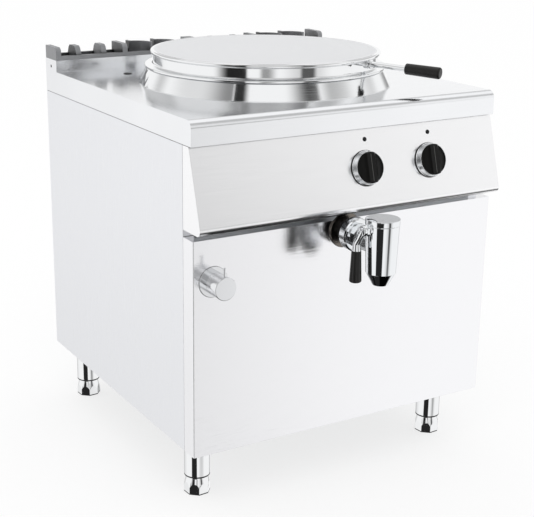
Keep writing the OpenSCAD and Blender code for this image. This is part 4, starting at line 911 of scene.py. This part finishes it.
# Painted shade: the ring's lowest few millimetres take the black nylon, for the shade round its foot.
bezels.data.materials.append(nylon)
to_panel = on_fascia(0, KNOB_DROP).inverted()
for face in bezels.data.polygons:
    if (to_panel @ face.center).z < BEZEL_FOOT_H / 1000:
        face.material_index = 1
settle(bezels, "cabinet", "bezel_chrome", "knob_bezels")
paint, knob_plastic = painted_line(), black_thermoset()
line_ends = [(math.cos(a), math.sin(a)) for a in [i * math.pi / 4 + 0.001 for i in range(8)]]
line_outline = [(POINTER_HALF_W * u, math.copysign(POINTER_HALF_L, v) + POINTER_HALF_W * v) for u, v in line_ends]
for name, x in KNOBS.items():
    settle(worked_copy(name, knob_plastic, 0.9), name, "knob_black", name)
    on_knob = on_fascia(x, KNOB_DROP)
    # The pointer line is partly a real pointer and partly a painted highlight along the bar.
    corners = [on_knob @ (Vector((across, along, KNOB_H - POINTER_DEEP)) / 1000) for across, along in line_outline]
    outwards = on_knob.to_3x3() @ Vector((0, 0, POINTER_T / 1000))
    settle(pulled(name + "_pointer", corners, outwards, paint), name, "knob_black")

# Indicator lamps
# Two small dark lenses of polycarbonate pushed into the panel above the knobs; unlit, they look nearly black.
# A lens is smooth and glossy with a low crown.
LENS_R, LENS_EDGE_R, LENS_H, LAMP_ASIDE, LAMP_DROP = 5.0, 2.2, 2.4, 5.8, 22.0


def lamp_polycarbonate():
    """Dark smoked polycarbonate."""
    material, tree = new_finish("smoked_polycarbonate", Roughness=0.12, IOR=1.58, Specular_IOR_Level=0.25)
    vary(tree, surface_pattern(tree, 3.0), ("#101013", "#17171b"))
    return material


smoked = lamp_polycarbonate()
lens_outline = [(0, 0.0), (LENS_R, 0.0)] + arc(LENS_R - LENS_EDGE_R, 0, LENS_EDGE_R, 0, 90, 6)[1:] + [(0, LENS_H)]
lenses = [turned("lens_" + name, lens_outline, smoked, on_fascia(x + LAMP_ASIDE, LAMP_DROP), steps=48)
          for name, x in KNOBS.items()]
settle(joined("indicator_lenses", *lenses), "cabinet", "lamp_lens", "indicator_lamps")

# Flue grilles
# Two cast-iron grilles side by side on the upstand, enamelled grey, with upright fins and curved vanes over the slot.
# The sand-cast skin shows through the enamel as a fine unevenness.
SOOT_DEPTH_MM = 55.0


def enamelled_iron():
    """Grey vitreous enamel over sand-cast iron: half gloss with a lumpy skin, darkened with painted shade where the
    recesses are deep.
    """
    material, tree = new_finish("enamelled_cast_iron", Roughness=0.36, IOR=1.5)
    clean = two_tones(tree, surface_pattern(tree, 25.0), "#8b8c8e", "#999a9d")
    # clean is the enamel's own tone; the near black mixed in by depth is painted shade in the grilles' recesses.
    vary(tree, openness(tree, SOOT_DEPTH_MM, 0.68, 1.0, only_local=True), ("#1d1d1e", clean))
    vary(tree, surface_pattern(tree, 3.5, detail=5.0), rough=(0.3, 0.45), depth_mm=0.12)
    return material


enamel = enamelled_iron()
for grille in ("flue_grille_left", "flue_grille_right"):
    settle(worked_copy(grille, enamel, 1.4), "cabinet", "cast_grey", grille)

# Studio
# A pale floor that keeps a faint shadow, white surroundings with dark and grey screens for the metal to mirror, one
# large soft lamp and the camera at the photograph's viewpoint.
FLOOR_HALF = 30.0
ROOM_LIGHT = 0.85  # the strength that lights matt surfaces, where 1 is white
# A screen's compass start and end from +Y towards +X and their softness, its low and high edge above the horizon and
# their softness, all in degrees, and its tone.
SCREENS = {
    "dark_left": (229, 256, 1.5, 9.0, -13, 24, 2.0, 0.02),
    "dark_left_low": (209, 255, 1.5, 2.0, -40, -13, 2.0, 0.02),
    "dark_left_high": (230, 242.9, 4.0, 0.8, 24, 60, 3.0, 0.03),
    "brown_left_high": (244.1, 264, 0.6, 16.0, 24, 60, 3.0, 0.28),
    "grey_side_high": (264, 330, 16.0, 14.0, 26, 60, 4.0, 0.8),
    "dark_front": (160, 175, 3.0, 2.5, -24, 24, 4.0, 0.15),
    "grey_front_wide": (151, 186, 12.0, 12.0, -44, 26, 8.0, 0.72),
    "grey_upstand": (146, 168, 12.0, 8.0, 2, 9, 3.0, 0.2),
    "grey_fascia": (132, 172, 10.0, 10.0, 12, 30, 5.0, 0.93),
    "dark_front_high": (154, 177, 2.0, 14.0, 33.5, 60, 6.0, 0.05),
    "grey_over_worktop": (168, 232, 8.0, 8.0, 2, 30, 4.0, 0.45),
    "grey_front_right_high": (116, 148, 10.0, 8.0, 28, 60, 6.0, 0.52),
    "dark_right": (58, 72, 2.0, 2.0, -32, 6, 3.0, 0.35),
    "grey_left": (203, 215, 6.0, 3.0, -14, 0, 2.0, 0.35),
    "grey_rear": (-38, 100, 8.0, 16.0, 15, 42, 3.0, 0.64),
    "grey_overhead": (140, 262, 12.0, 10.0, 60, 91, 4.0, 0.3),
    "grey_rear_low": (342, 400, 14.0, 10.0, -60, 0, 4.0, 0.72),
    "grey_floor_left": (315, 400, 12.0, 10.0, -60, -19, 5.0, 0.9),
    "dark_floor_front": (96, 236, 12.0, 12.0, -91, -35, 5.0, 0.05),
    "dark_below": (0, 360, 0.0, 0.0, -91, -52, 4.0, 0.02),
}


def soft_edges(tree, value, low, high, low_soft, high_soft):
    """Two factors for a band: one rises from 0 to 1 across its low edge, the other falls across its high edge."""
    factors = []
    for edge, soft, start, end in ((low, low_soft, 0.0, 1.0), (high, high_soft, 1.0, 0.0)):
        span = {"Value": value, "From Min": edge - soft, "From Max": edge + soft, "To Min": start, "To Max": end}
        factors.append(add(tree, "ShaderNodeMapRange", span, interpolation_type="SMOOTHSTEP").outputs["Result"])
    return factors


world = bpy.data.worlds.new("studio_surroundings")
bpy.context.scene.world = world
world.use_nodes = True
world.cycles.sampling_method = "NONE"
sky = world.node_tree
way = add(sky, "ShaderNodeSeparateXYZ", {"Vector": add(sky, "ShaderNodeTexCoord").outputs["Generated"]}).outputs
bearing = add(sky, "ShaderNodeMath", {0: way["X"], 1: way["Y"]}, operation="ARCTAN2").outputs[0]
rise = add(sky, "ShaderNodeMath", {0: way["Z"]}, operation="ARCSINE").outputs[0]
compass, height = (add(sky, "ShaderNodeMath", {0: part}, operation="DEGREES").outputs[0] for part in (bearing, rise))
light = 1.0
for first, last, first_soft, last_soft, low, high, height_soft, tone in SCREENS.values():
    factors = soft_edges(sky, height, low, high, height_soft, height_soft)
    if last - first < 360:
        middle, half = (first + last) / 2, (last - first) / 2
        off = add(sky, "ShaderNodeMath", {0: compass, 1: middle}, operation="SUBTRACT").outputs[0]
        off = add(sky, "ShaderNodeMath", {0: off, 1: 180.0, 2: -180.0}, operation="WRAP").outputs[0]
        factors += soft_edges(sky, off, -half, half, first_soft, last_soft)
    cover = 1.0
    for factor in factors:
        cover = add(sky, "ShaderNodeMath", {0: cover, 1: factor}, operation="MULTIPLY").outputs[0]
    shade = add(sky, "ShaderNodeMapRange", {"Value": cover, "To Min": 1.0, "To Max": tone}).outputs["Result"]
    light = add(sky, "ShaderNodeMath", {0: light, 1: shade}, operation="MULTIPLY").outputs[0]
rays = add(sky, "ShaderNodeLightPath").outputs
plain = add(sky, "ShaderNodeMath", {0: rays["Is Camera Ray"], 1: rays["Is Transmission Ray"]}, operation="MAXIMUM")
seen = add(sky, "ShaderNodeMix", {"Factor": rays["Is Glossy Ray"], "A": ROOM_LIGHT, "B": light})
strength = add(sky, "ShaderNodeMath", {0: seen.outputs["Result"], 1: plain.outputs[0]}, operation="MAXIMUM").outputs[0]
background = sky.nodes["Background"]
background.inputs["Color"].default_value = (1, 1, 1, 1)
sky.links.new(strength, background.inputs["Strength"])


def floor_paint():
    """White floor: to the camera almost plain white, so that only a faint shadow shows."""
    material, tree = new_finish("white_floor", Base_Color=linear("#f3f3f3"), Roughness=0.9)
    camera_ray = add(tree, "ShaderNodeLightPath").outputs["Is Camera Ray"]
    glow = add(tree, "ShaderNodeEmission", {"Color": (1, 1, 1, 1), "Strength": 0.74})
    shade = add(tree, "ShaderNodeBsdfDiffuse", {"Color": (0.3, 0.3, 0.3, 1)})
    both = add(tree, "ShaderNodeAddShader", {0: glow.outputs[0], 1: shade.outputs[0]})
    plain_paint = tree.nodes["Principled BSDF"].outputs[0]
    mix = add(tree, "ShaderNodeMixShader", {0: camera_ray, 1: plain_paint, 2: both.outputs[0]})
    tree.links.new(mix.outputs[0], tree.nodes["Material Output"].inputs["Surface"])
    return material


floor_mesh = bpy.data.meshes.new("studio_floor")
floor_corners = [(x * FLOOR_HALF, y * FLOOR_HALF, 0) for x, y in ((-1, -1), (1, -1), (1, 1), (-1, 1))]
floor_mesh.from_pydata(floor_corners, [], [(0, 1, 2, 3)])
floor_mesh.materials.append(floor_paint())
floor = as_object("studio_floor", floor_mesh)
floor.visible_glossy = False

LAMP_AT, LAMP_AIM = (-1.5, -2.0, 3.5), Vector((0, 0, 0.6))
lamp = bpy.data.lights.new("soft_lamp", "AREA")
lamp.shape, lamp.size, lamp.energy = "DISK", 3.0, 12.0
lamp_object = as_object("soft_lamp", lamp)
lamp_object.location = LAMP_AT
lamp_object.rotation_euler = (LAMP_AIM - lamp_object.location).to_track_quat("-Z", "Y").to_euler()
lamp_object.visible_glossy = False

CAMERA_AT, CAMERA_TURN, CAMERA_DROP, CAMERA_ROLL = (-1.4964, -2.40595, 1.3479), 30.13, 16.922, 0.451
camera = bpy.data.cameras.new("photograph_view")
camera.sensor_width, camera.lens, camera.shift_x, camera.shift_y = 36.0, 80.27, 0.0472, -0.0236
turn, drop, roll = (math.radians(angle) for angle in (CAMERA_TURN, CAMERA_DROP, CAMERA_ROLL))
forward = Vector((math.sin(turn) * math.cos(drop), math.cos(turn) * math.cos(drop), -math.sin(drop)))
level_right = forward.cross(Vector((0, 0, 1))).normalized()
level_up = level_right.cross(forward)
right = level_right * math.cos(roll) + level_up * math.sin(roll)
up = level_up * math.cos(roll) - level_right * math.sin(roll)
camera_object = as_object("photograph_view", camera)
camera_object.matrix_world = Matrix.Translation(CAMERA_AT) @ Matrix((right, up, -forward)).transposed().to_4x4()
bpy.context.scene.camera = camera_object
bpy.context.scene.view_settings.view_transform = "Standard"
